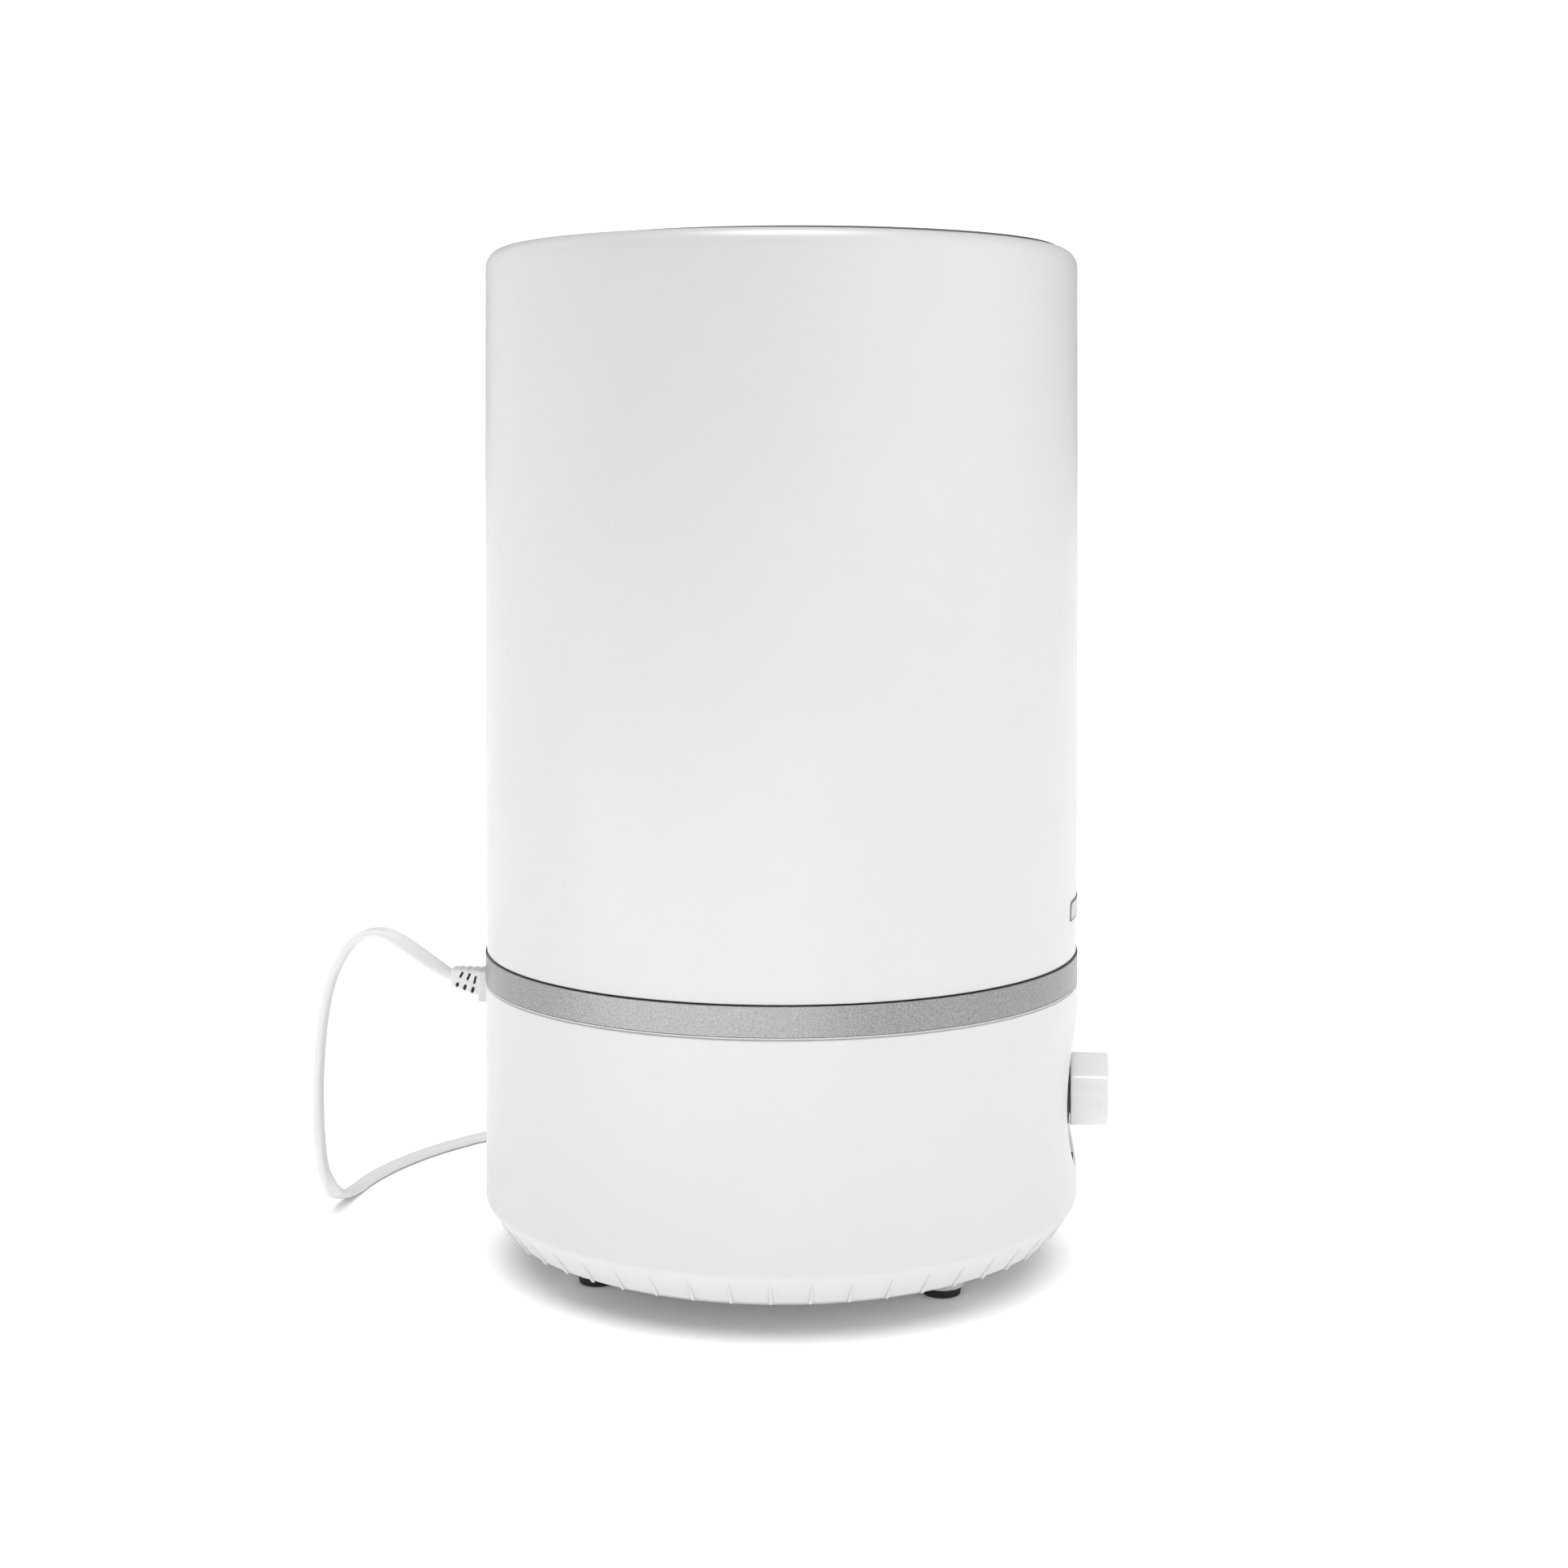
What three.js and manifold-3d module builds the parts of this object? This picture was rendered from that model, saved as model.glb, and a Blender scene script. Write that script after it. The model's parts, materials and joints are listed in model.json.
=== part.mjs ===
// Ultrasonic cool mist humidifier: a round base with a pool and a piezo disc under a lift-off tank,
// whose lid carries a turning mist nozzle. Millimetres, +Z up, the front (the knob) faces -Y,
// and the origin is on the table under the middle of the body.
import * as THREE from "three";
import { mergeVertices } from "three/addons/utils/BufferGeometryUtils.js";
import Module from "manifold-3d";

// ---------------------------------------------------------------- driving dimensions
const BODY_R = 98; // outside radius of tank, band and base
const WALL = 2.5; // moulded wall
const TOTAL_H = 332; // table to the tank's rim
const FIT = 0.3; // gap between pieces that touch
const ROUND = 40; // sides of a large round piece
const SMALL = 20; // sides of a small round piece
const TINY = 10; // sides of a screw, lead or pin

// heights above the table
const PAD_H = 2.5;
const COVER_Z = 9; // underside of the bottom cover
const EDGE_Z = 21.4; // where the chamfer meets the upright wall
const BAND_Z = 92.2; // bottom of the accent band
const BAND_TOP = 101.6;
const DECK_Z = 93; // underside of the wet deck
const DECK_TOP = DECK_Z + WALL;
const POOL_Z = 50; // floor of the pool
const TANK_Z = 102.4; // lower edge of the tank
const TANK_FLOOR_Z = 104;

// radii inside the body
const INNER_R = BODY_R - WALL;
const CHAMFER_R = 91; // foot of the chamfer
const CHAMFER_Z = 11.5;
const RIM_R = 94.6; // outside of the wet deck
const COLLAR_R = 92.4; // inside of the band's collar, which stands on the deck

// feet and cover screws
const FOOT = { x: 40, y: 54, r: 6.2, bossTop: 7.6, bossBottom: 6.6 };
const POST = { at: 56.6, r: 4.6, pilot: 2 };

// pool: two round ends of one radius, one over the piezo disc and one under the tank's valve
const POOL_R = 30;
const VALVE_Y = 48;
const FLOAT = { x: 17, y: 27, r: 10, bore: 2.9, z: 50.6, h: 9 };
const FLOAT_POST_R = 2.3;
const FLOAT_STOP_Z = 69;

// fan and its duct
const FAN = { x: 60, y: -8, size: 50, z: 30, h: 15, throat: 23.5, hub: 9.8 };
const DUCT = { wide: 48, narrow: 28, wall: 2, z: 45.3, neckZ: 53, top: 100 };

// control
const KNOB_Z = 56;
const KNOB = { r: 11.9, back: 95.7, front: 108.3, neckR: 8, neckBack: 94, bore: 3.2 };
const KNOB_FLAT_AT = 9.7; // each flat lies this far from the knob's axis
const KNOB_FLAT_TURN = 67.5; // the flats' normal above the horizontal, towards -X
const DISH = { r: 25, floorR: 18, floorY: 91.5, rimY: 95, wall: 2.4 };
const LENS = { r: 1.8, z: KNOB_Z - 23, back: 86.5, front: 94.9 };

// cord: a flat twin lead
const CORD = { wide: 5.4, thick: 2.9, sides: 8, exitY: 111.6, exitZ: 88.9 };
const COIL = { x: 141, y: -12, inner: 25, outer: 36.4, z: 1.2, top: 12.2 };

// tank, lid and nozzle
const RIM_FILLET = 6;
const LID = { shift: -5, r: 86, rise: 0.7, thick: 3.4, skirtR: 81.5, skirtZ: 322 };
const LEDGE_R = 83;
const CHIMNEY = { inner: 20, outer: 22.2, z: 97, top: 318 };
const NOZZLE = { r: 22.8, top: 338.4, tubeOuter: 17, tubeInner: 15, tubeZ: 316 };
const BADGE = { half: 21.2, z: 115, h: 6.3, corner: 2.5 };

// ---------------------------------------------------------------- shape helpers
const wasm = await Module();
wasm.setup();
const rad = THREE.MathUtils.degToRad;

/** A closed geometry as a solid that can be joined and cut. */
function toSolid(geometry) {
  const loose = geometry.index ? geometry.toNonIndexed() : geometry;
  const bare = new THREE.BufferGeometry();
  bare.setAttribute("position", loose.getAttribute("position"));
  const merged = mergeVertices(bare, 1e-4);
  const corners = merged.index.array;
  const kept = []; // without the triangles that shrink to a line on a lathe's axis
  for (let i = 0; i < corners.length; i += 3) {
    const [a, b, c] = corners.slice(i, i + 3);
    if (a !== b && b !== c && c !== a) kept.push(a, b, c);
  }
  const vertProperties = new Float32Array(merged.getAttribute("position").array);
  return new wasm.Manifold(
    new wasm.Mesh({ numProp: 3, vertProperties, triVerts: new Uint32Array(kept) }),
  );
}

/** A solid as a geometry again. */
function toGeometry(solid) {
  const mesh = solid.getMesh();
  return new THREE.BufferGeometry()
    .setAttribute("position", new THREE.BufferAttribute(new Float32Array(mesh.vertProperties), 3))
    .setIndex(new THREE.BufferAttribute(new Uint32Array(mesh.triVerts), 1));
}

const join = (...all) => toGeometry(all.map(toSolid).reduce((a, b) => a.add(b)));
const cut = (from, ...tools) =>
  toGeometry(tools.map(toSolid).reduce((a, b) => a.subtract(b), toSolid(from)));
const common = (a, b) => toGeometry(toSolid(a).intersect(toSolid(b)));

/** Turns a profile of [radius, height], counter-clockwise, about Z. It closes itself off the axis. */
function revolve(profile, sides = ROUND) {
  const points = profile.map(([r, z]) => new THREE.Vector2(r, z));
  if (profile[0][0] > 0) points.push(points[0].clone());
  return new THREE.LatheGeometry(points, sides).rotateX(Math.PI / 2);
}

const disc = (r, z0, z1, sides = SMALL) =>
  revolve([[0, z0], [r, z0], [r, z1], [0, z1]], sides);
const pipe = (inner, outer, z0, z1, sides = SMALL) =>
  revolve([[inner, z0], [outer, z0], [outer, z1], [inner, z1]], sides);

/** A box between two corners. */
function block([x0, y0, z0], [x1, y1, z1]) {
  return new THREE.BoxGeometry(x1 - x0, y1 - y0, z1 - z0).translate(
    (x0 + x1) / 2,
    (y0 + y1) / 2,
    (z0 + z1) / 2,
  );
}

/** A square pillar of the given width about (x, y). */
const pillar = (x, y, wide, z0, z1) =>
  block([x - wide / 2, y - wide / 2, z0], [x + wide / 2, y + wide / 2, z1]);

/** Lays something that was revolved about Z along -Y, so that its heights become distances forwards. */
const forwards = (geometry, z = KNOB_Z) => geometry.rotateX(Math.PI / 2).translate(0, 0, z);

/** A straight-sided solid over a flat outline. */
const prism = (shape, z0, z1, curveSegments = 8) =>
  new THREE.ExtrudeGeometry(shape, {
    depth: z1 - z0,
    bevelEnabled: false,
    curveSegments,
  }).translate(0, 0, z0);

/** A tube of the given radius through a list of points. */
function sweep(points, r, steps, sides = CORD.sides) {
  const section = new THREE.Shape();
  for (let i = 0; i < sides; i++) {
    const a = (2 * Math.PI * (i + 0.5)) / sides;
    section[i ? "lineTo" : "moveTo"](r * Math.cos(a), r * Math.sin(a));
  }
  section.closePath();
  const path = new THREE.CatmullRomCurve3(points.map((p) => new THREE.Vector3(...p)));
  return new THREE.ExtrudeGeometry(section, { steps, extrudePath: path, curveSegments: 1 });
}

/** The pool's outline: the band between two round ends of radius r. */
function poolOutline(r) {
  const shape = new THREE.Shape();
  shape.absarc(0, 0, r, Math.PI, 2 * Math.PI);
  shape.absarc(0, VALVE_Y, r, 0, Math.PI);
  shape.closePath();
  return shape;
}

/** Calls make(x, y, number) at the four corners of a rectangle. */
const atCorners = (x, y, make) =>
  [[1, 1], [-1, 1], [-1, -1], [1, -1]].map(([sx, sy], i) => make(sx * x, sy * y, i + 1));

// ---------------------------------------------------------------- materials
const plastic = (color, roughness = 0.45) =>
  new THREE.MeshStandardMaterial({ color, roughness, metalness: 0 });
const metal = (color, roughness = 0.35) =>
  new THREE.MeshStandardMaterial({ color, roughness, metalness: 1 });

const MATERIAL = {
  shell: plastic(0xf2f2f2),
  silver: new THREE.MeshStandardMaterial({ color: 0xa4a4a4, roughness: 0.4, metalness: 0.6 }),
  lid: new THREE.MeshStandardMaterial({ color: 0x9a9a9a, roughness: 0.4, metalness: 0.5 }),
  inner: plastic(0xe6e8ea, 0.5),
  rubber: plastic(0x161616, 0.85),
  seal: plastic(0xc9cdd0, 0.7),
  dial: plastic(0x3c3e41, 0.5),
  lens: plastic(0x2f3a44, 0.15),
  cord: plastic(0xf0f0f0, 0.5),
  foam: plastic(0xf7f7f2, 0.8),
  fan: plastic(0x222326, 0.5),
  board: plastic(0x1f5a38, 0.5),
  component: plastic(0x2b2b2e, 0.5),
  steel: metal(0xbfc2c5),
  brass: metal(0xc9a964),
  aluminium: metal(0xb9bcc0, 0.45),
  ceramic: plastic(0xdcd8cc, 0.3),
};

const group = new THREE.Group();

/** Adds one named piece to the object. */
function piece(name, geometry, material) {
  const mesh = new THREE.Mesh(geometry, material);
  mesh.name = name;
  group.add(mesh);
  return mesh;
}

// ---------------------------------------------------------------- base: casings
/** Upright wall of the base, with the round dish for the knob and a slot for the cord's gland. */
function baseHousing() {
  const wall = pipe(INNER_R, BODY_R, EDGE_Z + FIT, BAND_Z - FIT, ROUND);
  const { r, floorR, floorY, rimY, wall: skin } = DISH;
  const out = BODY_R + 10;
  const back = forwards(
    revolve(
      [[0, floorY - skin], [floorR + 2, floorY - skin], [r + skin, rimY - 1], [r + skin, out], [0, out]],
      ROUND,
    ),
  );
  const hollow = forwards(
    revolve([[0, floorY], [floorR, floorY], [r, rimY], [r, out], [0, out]], ROUND),
  );
  const backing = common(back, disc(BODY_R - 0.05, EDGE_Z + 4, BAND_Z - 4, ROUND));
  const shaftHole = forwards(disc(3.8, floorY - 10, floorY + 5));
  const lensHole = forwards(disc(LENS.r + FIT, floorY - 10, floorY + 5, TINY), LENS.z);
  const cordSlot = block([-4.4, INNER_R - 5, 82.4], [4.4, BODY_R + 5, 89.4]);
  return cut(join(wall, backing), hollow, shaftHole, lensHole, cordSlot);
}

/** Bottom cover: chamfered edge, bosses for feet, fan and board, vents under the fan. */
function bottomCover() {
  const skin = 2.3;
  const shell = revolve([
    [0, COVER_Z],
    [86, COVER_Z],
    [CHAMFER_R, CHAMFER_Z],
    [BODY_R, EDGE_Z],
    [95.1, EDGE_Z],
    [95.1, EDGE_Z + 5],
    [93, EDGE_Z + 5],
    [93, EDGE_Z - 1.2],
    [CHAMFER_R - 3, CHAMFER_Z + skin],
    [85, COVER_Z + skin],
    [0, COVER_Z + skin],
  ]);
  const feet = atCorners(FOOT.x, FOOT.y, (x, y) =>
    revolve([
      [0, PAD_H + FIT],
      [FOOT.bossBottom, PAD_H + FIT],
      [FOOT.bossTop, 5.5],
      [FOOT.bossTop, COVER_Z + 1],
      [0, COVER_Z + 1],
    ], SMALL).translate(x, y, 0),
  );
  const screwBosses = atCorners(POST.at, POST.at, (x, y) =>
    disc(7, COVER_Z + 1, COVER_Z + 5).translate(x, y, 0),
  );
  const screwHoles = atCorners(POST.at, POST.at, (x, y) =>
    revolve(
      [[0, 0], [4.2, 0], [4.2, COVER_Z + 2.8], [2.1, COVER_Z + 2.8], [2.1, 20], [0, 20]],
      TINY,
    ).translate(x, y, 0),
  );
  const fanPosts = atCorners(20, 20, (x, y) =>
    revolve(
      [[0, COVER_Z + 1], [3.5, COVER_Z + 1], [3.5, FAN.z - FIT], [1.6, FAN.z - FIT], [1.6, 36], [0, 36]],
      TINY,
    ).translate(FAN.x + x, FAN.y + y, 0),
  );
  const boardPosts = atCorners(BOARD.postX, BOARD.postY, (x, y) =>
    pipe(1.5, 3.2, COVER_Z + 1, BOARD.z - FIT, TINY).translate(BOARD.x + x, BOARD.y + y, 0),
  );
  const vents = [];
  for (let i = -2; i <= 2; i++) {
    const y = FAN.y + i * 6;
    vents.push(block([FAN.x - 15, y - 1.7, 0], [FAN.x + 15, y + 1.7, COVER_Z + 5]));
  }
  return cut(
    join(shell, ...feet, ...screwBosses, ...fanPosts, ...boardPosts),
    ...screwHoles,
    ...vents,
  );
}

/** Silver band with a collar inside it, which stands on the wet deck's edge and centres the tank. */
function accentBand() {
  return revolve([
    [RIM_R + FIT, BAND_Z],
    [BODY_R, BAND_Z],
    [BODY_R, BAND_TOP],
    [RIM_R + FIT, BAND_TOP],
    [RIM_R + FIT, BAND_TOP - 0.8],
    [COLLAR_R, BAND_TOP - 0.8],
    [COLLAR_R, DECK_TOP + FIT],
    [RIM_R + FIT, DECK_TOP + FIT],
  ]);
}

/** Wet deck, the deep pool, the push pin, the float's post and the screw posts. */
function waterBasin() {
  const deck = disc(RIM_R, DECK_Z, DECK_TOP, ROUND);
  const shell = prism(poolOutline(POOL_R + WALL), POOL_Z - WALL, DECK_Z + 1, 16);
  const hollow = prism(poolOutline(POOL_R), POOL_Z, DECK_TOP + 1, 16);
  const discHole = disc(9.4, POOL_Z - 2 * WALL, POOL_Z + 1);
  const pushPin = disc(3, POOL_Z - 1, 82).translate(0, VALVE_Y, 0);
  const floatPost = disc(FLOAT_POST_R, POOL_Z - 1, FLOAT_STOP_Z + 1.4, TINY)
    .translate(FLOAT.x, FLOAT.y, 0);
  const posts = atCorners(POST.at, POST.at, (x, y) =>
    disc(POST.r, 14.3, DECK_Z + 1, TINY).translate(x, y, 0),
  );
  const pilots = atCorners(POST.at, POST.at, (x, y) =>
    disc(POST.pilot, 10, 36, TINY).translate(x, y, 0),
  );
  const ductHole = pillar(FAN.x, FAN.y, DUCT.narrow + 0.8, 80, 110);
  const bosses = transducerScrewSpots((x, y) =>
    pipe(1.3, 3, 44.5, POOL_Z - WALL + 0.5, TINY).translate(x, y, 0),
  );
  return join(
    cut(join(cut(join(deck, shell), hollow), ...posts), discHole, ductHole, ...pilots),
    pushPin,
    floatPost,
    ...bosses,
  );
}

// ---------------------------------------------------------------- base: mist maker
/** Calls make(x, y, number) at the three screws that hold the piezo disc's retainer. */
const transducerScrewSpots = (make) =>
  [30, 150, 270].map((a, i) => make(15.8 * Math.cos(rad(a)), 15.8 * Math.sin(rad(a)), i + 1));

const transducerSeal = () =>
  revolve([
    [8.6, 44.6],
    [12.3, 44.6],
    [12.3, 47.2],
    [8.6, 47.2],
    [8.6, 46.8],
    [10.3, 46.8],
    [10.3, 45.2],
    [8.6, 45.2],
  ]);

function transducerRetainer() {
  const holes = transducerScrewSpots((x, y) => disc(1.4, 40, 46, TINY).translate(x, y, 0));
  return cut(pipe(7.5, 18.6, 42.7, 44.2), ...holes);
}

const transducerScrew = () =>
  revolve([[0, 40.9], [2.3, 40.9], [2.3, 42.4], [1, 42.4], [1, 46.9], [0, 46.9]], TINY);

// ---------------------------------------------------------------- base: fan and electronics
function fanFrame() {
  const half = FAN.size / 2;
  const frame = block([-half, -half, FAN.z], [half, half, FAN.z + FAN.h]);
  const throat = disc(FAN.throat, FAN.z - 1, FAN.z + FAN.h + 1, 32);
  const pinHoles = atCorners(20, 20, (x, y) =>
    disc(1.9, FAN.z - 1, FAN.z + FAN.h + 1, TINY).translate(x, y, 0),
  );
  const spokes = [0, 120, 240].map((a) =>
    block([0, -1.6, FAN.z], [FAN.throat + 1, 1.6, FAN.z + 1.8]).rotateZ(rad(a)),
  );
  const motorSeat = disc(FAN.hub, FAN.z, FAN.z + 2.6);
  const spindle = disc(1.4, FAN.z + 2, FAN.z + 9, TINY);
  return join(cut(frame, throat, ...pinHoles), ...spokes, motorSeat, spindle);
}

function fanImpeller() {
  const hub = disc(FAN.hub, FAN.z + 3.2, FAN.z + 13);
  const bore = disc(1.5, FAN.z, FAN.z + 9.4, TINY);
  const blades = [];
  for (let i = 0; i < 7; i++) {
    const blade = new THREE.BoxGeometry(13.4, 9, 1.1).rotateX(rad(38));
    blades.push(blade.translate(FAN.hub + 5.6, 0, FAN.z + 8).rotateZ((2 * Math.PI * i) / 7));
  }
  return cut(join(hub, ...blades), bore);
}

function airDuct() {
  const { wide, narrow, wall, z, neckZ, top } = DUCT;
  const outside = join(pillar(0, 0, wide, z, neckZ), pillar(0, 0, narrow, neckZ - 1, top));
  const inside = join(
    pillar(0, 0, wide - 2 * wall, z - 1, neckZ - wall),
    pillar(0, 0, narrow - 2 * wall, z, top + 1),
  );
  return cut(outside, inside);
}

const BOARD = { x: -27, y: -2, halfX: 46, halfY: 32, postX: 42, postY: 28, z: 17, thick: 1.6 };
const BOARD_TOP = BOARD.z + BOARD.thick + FIT;

function driverBoard() {
  const { halfX, halfY, postX, postY, z, thick } = BOARD;
  const holes = atCorners(postX, postY, (x, y) => disc(1.6, z - 1, z + thick + 1, TINY).translate(x, y, 0));
  return cut(block([-halfX, -halfY, z], [halfX, halfY, z + thick]), ...holes);
}

const boardScrew = () =>
  join(disc(1.2, 12.5, BOARD_TOP + 1, TINY), disc(2.8, BOARD_TOP, BOARD_TOP + 1.6, TINY));

function heatsink() {
  const fins = [block([-17, -12, 0], [17, 12, 3])];
  for (let i = -3; i <= 3; i++) fins.push(block([i * 5 - 0.8, -12, 2], [i * 5 + 0.8, 12, 16]));
  return join(...fins);
}

// leads inside the base, each from what it feeds to the driver board
const MAINS_LEAD_POINTS = [
  [0, 85, 87],
  [-1, 84.4, 70],
  [-6, 83, 46],
  [-14, 68, 28],
  [-20, 44, 22.5],
  [-22, 26, 21.2],
];
const TRANSDUCER_LEAD_POINTS = [[8.6, 3, 41.6], [14, 8, 36], [14, 14, 26], [8, 16, 20.6]];
const FAN_LEAD_POINTS = [[33.6, -8, 33], [27, -8, 32], [22, -8, 26], [15, -8, 20.6]];
const CONTROL_LEAD_POINTS = [[0, -77.6, 46], [0, -66, 40], [-4, -48, 27], [-10, -31, 21]];

const transformer = () =>
  join(block([-14, -12, 0], [14, 12, 16]), block([-10, -8.5, 15], [10, 8.5, 19]));

const coverScrew = () =>
  revolve([[0, 9.4], [3.8, 9.4], [3.8, 11.5], [1.7, 11.5], [1.7, 32], [0, 32]], TINY);

// ---------------------------------------------------------------- base: control
function potentiometer() {
  const body = disc(8.5, 79, DISH.floorY - DISH.wall - FIT);
  const bushing = disc(3.5, DISH.floorY - DISH.wall - 1, DISH.floorY + 2, TINY * 2);
  const tags = block([-6, 6.5, 79.4], [6, 12, 81]).rotateX(Math.PI); // solder tags hang below the body
  const bore = disc(3.1, 82, 96, TINY * 2);
  return forwards(cut(join(body, bushing, tags.translate(0, 0, 160.4)), bore));
}

function potNut() {
  const hexagon = disc(5.6, DISH.floorY + FIT, DISH.floorY + 1.9, 6);
  return forwards(cut(hexagon, disc(3.8, 80, 100, TINY * 2)));
}

function knob() {
  const { r, back, front, neckR, neckBack, bore } = KNOB;
  const edge = 0.8;
  const grip = revolve([[0, back], [r, back], [r, front - edge], [r - edge, front], [0, front]], 32);
  const neck = disc(neckR, neckBack, back + 1, 32);
  const shaftBore = disc(bore, 80, front - 3.5, TINY * 2);
  const flats = [1, -1].map((side) =>
    block([KNOB_FLAT_AT, -20, back - 0.02], [30, 20, 130]).rotateZ(side > 0 ? 0 : Math.PI),
  );
  const shape = cut(join(grip, neck), shaftBore, ...flats);
  return forwards(shape.rotateZ(Math.PI - rad(KNOB_FLAT_TURN)));
}

// ---------------------------------------------------------------- base: cord
/** Moulded strain relief: a square flange on the wall, a slotted sleeve outside and a tongue inside. */
function cordGland() {
  const flange = block([-5.2, BODY_R + FIT, 81.3], [5.2, BODY_R + 4.2, 91.8]);
  const tongue = block([-4, BODY_R - 11, 82.8], [4, BODY_R + 2, 89]);
  const lug = block([-6.5, BODY_R - 9, 82.8], [6.5, BODY_R - 5, 89]);
  const from = BODY_R + 3.8;
  const sleeve = new THREE.Shape();
  sleeve.moveTo(from, 82.3);
  sleeve.lineTo(CORD.exitY, 85.7);
  sleeve.lineTo(CORD.exitY, 91.9);
  sleeve.lineTo(from, 91.4);
  sleeve.closePath();
  const body = new THREE.ExtrudeGeometry(sleeve, { depth: 8.4, bevelEnabled: false })
    .translate(0, 0, -4.2)
    .applyMatrix4(new THREE.Matrix4().makeBasis(
      new THREE.Vector3(0, 1, 0),
      new THREE.Vector3(0, 0, 1),
      new THREE.Vector3(1, 0, 0),
    ));
  const slots = [];
  for (let i = 0; i < 3; i++) {
    const y = from + 1.1 + i * 2.5;
    slots.push(block([-6, y, 89.4 + i * 0.15], [6, y + 0.8, 95]));
    slots.push(block([-6, y, 78], [6, y + 0.8, 85.2 + i * 0.6]));
  }
  return join(flange, tongue, lug, cut(body, ...slots));
}

/** The cord from the gland's mouth, over its hump, down to the table and round to the coil. */
const CORD_REST_Z = 1.6; // the line of a cord that lies flat on the table
const RUN_POINTS = [
  [0, CORD.exitY + 1.2, CORD.exitZ],
  [0, 119.5, 93.4],
  [0, 126.5, 98.3],
  [0, 133, 102.4],
  [0, 139, 103.6],
  [0.5, 145, 101],
  [1, 150, 95],
  [2, 154.3, 86],
  [3, 157.3, 74],
  [4.5, 159.2, 60],
  [6, 160.2, 46],
  [8.5, 160.6, 32],
  [13, 160.8, 19.5],
  [21, 160.4, 9.5],
  [33, 159.6, 3.6],
  [47, 158.5, CORD_REST_Z],
  [62, 156.5, CORD_REST_Z],
  [80, 151.5, CORD_REST_Z],
  [99, 143, CORD_REST_Z],
  [118, 130.5, CORD_REST_Z],
  [136, 114, CORD_REST_Z],
  [151, 94.5, CORD_REST_Z],
  [163, 71.5, CORD_REST_Z],
  [171, 47, CORD_REST_Z],
  [174, 25, 2.2],
  [174.4, 6, 2.8],
];
/** From the coil's upper layer down to the plug, which lies beside the coil. */
const TAIL_POINTS = [
  [107.4, 6, 8.2],
  [108.3, 16, 6.8],
  [110, 27, 5.6],
  [112.5, 38, 5.8],
  [115, 48, 6.6],
];
const PLUG = { x: 116.8, y: 54.6, turn: -15, z: 7, half: 8.2, long: 24, thick: 12.4 };

/** Plug body lying flat, its prongs pointing along +Y before it is turned. */
function plugBody() {
  const { half, long, thick } = PLUG;
  const outline = new THREE.Shape();
  outline.moveTo(-3.6, -6);
  outline.lineTo(3.6, -6);
  outline.lineTo(4.6, 0);
  outline.lineTo(half, 7);
  outline.lineTo(half, long);
  outline.lineTo(-half, long);
  outline.lineTo(-half, 7);
  outline.lineTo(-4.6, 0);
  outline.closePath();
  const body = prism(outline, -thick / 2, thick / 2);
  const grips = [1, -1].map((side) =>
    block([half - 0.8, 10, -8], [half + 5, 18, 8]).translate(side > 0 ? 0 : -2 * half - 4.2, 0, 0),
  );
  const slope = [1, -1].map((s) =>
    new THREE.BoxGeometry(30, 30, 8).rotateX(rad(s * 17)).translate(0, -5, s * 9),
  );
  return placePlug(cut(body, ...grips, ...slope));
}

const placePlug = (geometry) => geometry.rotateZ(rad(PLUG.turn)).translate(PLUG.x, PLUG.y, PLUG.z);
const plugBlade = (side) =>
  placePlug(
    block([side * 6.35 - 0.75, PLUG.long + FIT, -3.2], [side * 6.35 + 0.75, PLUG.long + 16, 3.2]),
  );

/** Strap round the coil's bundle, on its side towards +Y. */
function cordTie() {
  const { x, y, inner, outer, z, top } = COIL;
  const clear = 0.4;
  const skin = 0.7;
  const hole = block([-9, y + inner - clear, z - clear], [9, y + outer + clear, top + clear]);
  const loop = block(
    [-3, y + inner - clear - skin, z - clear - skin],
    [3, y + outer + clear + skin, top + clear + skin],
  );
  return cut(loop, hole).translate(x, 0, 0);
}

// ---------------------------------------------------------------- tank
/** Outer wall with the rounded rim and the ledge that the lid lies on, a little forward of the middle. */
function tankShell() {
  const profile = [[INNER_R, TANK_Z], [BODY_R, TANK_Z], [BODY_R, TOTAL_H - RIM_FILLET]];
  const steps = 5;
  for (let i = 1; i <= steps; i++) {
    const a = (Math.PI / 2) * (i / steps);
    profile.push([
      BODY_R - RIM_FILLET + RIM_FILLET * Math.cos(a),
      TOTAL_H - RIM_FILLET + RIM_FILLET * Math.sin(a),
    ]);
  }
  profile.push([60, TOTAL_H], [60, TOTAL_H - 6], [88, TOTAL_H - 6], [INNER_R, TOTAL_H - 12]);
  const seat = disc(LID.r + 0.4, TOTAL_H - 2.9, TOTAL_H + 5, ROUND).translate(0, LID.shift, 0);
  const mouth = disc(LEDGE_R, TOTAL_H - 20, TOTAL_H + 5, ROUND).translate(0, LID.shift, 0);
  const badgeSeat = badgeBlank(BADGE.half + 0.3, BODY_R - 1, BODY_R + 5, -0.3);
  return cut(revolve(profile), seat, mouth, badgeSeat);
}

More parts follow.
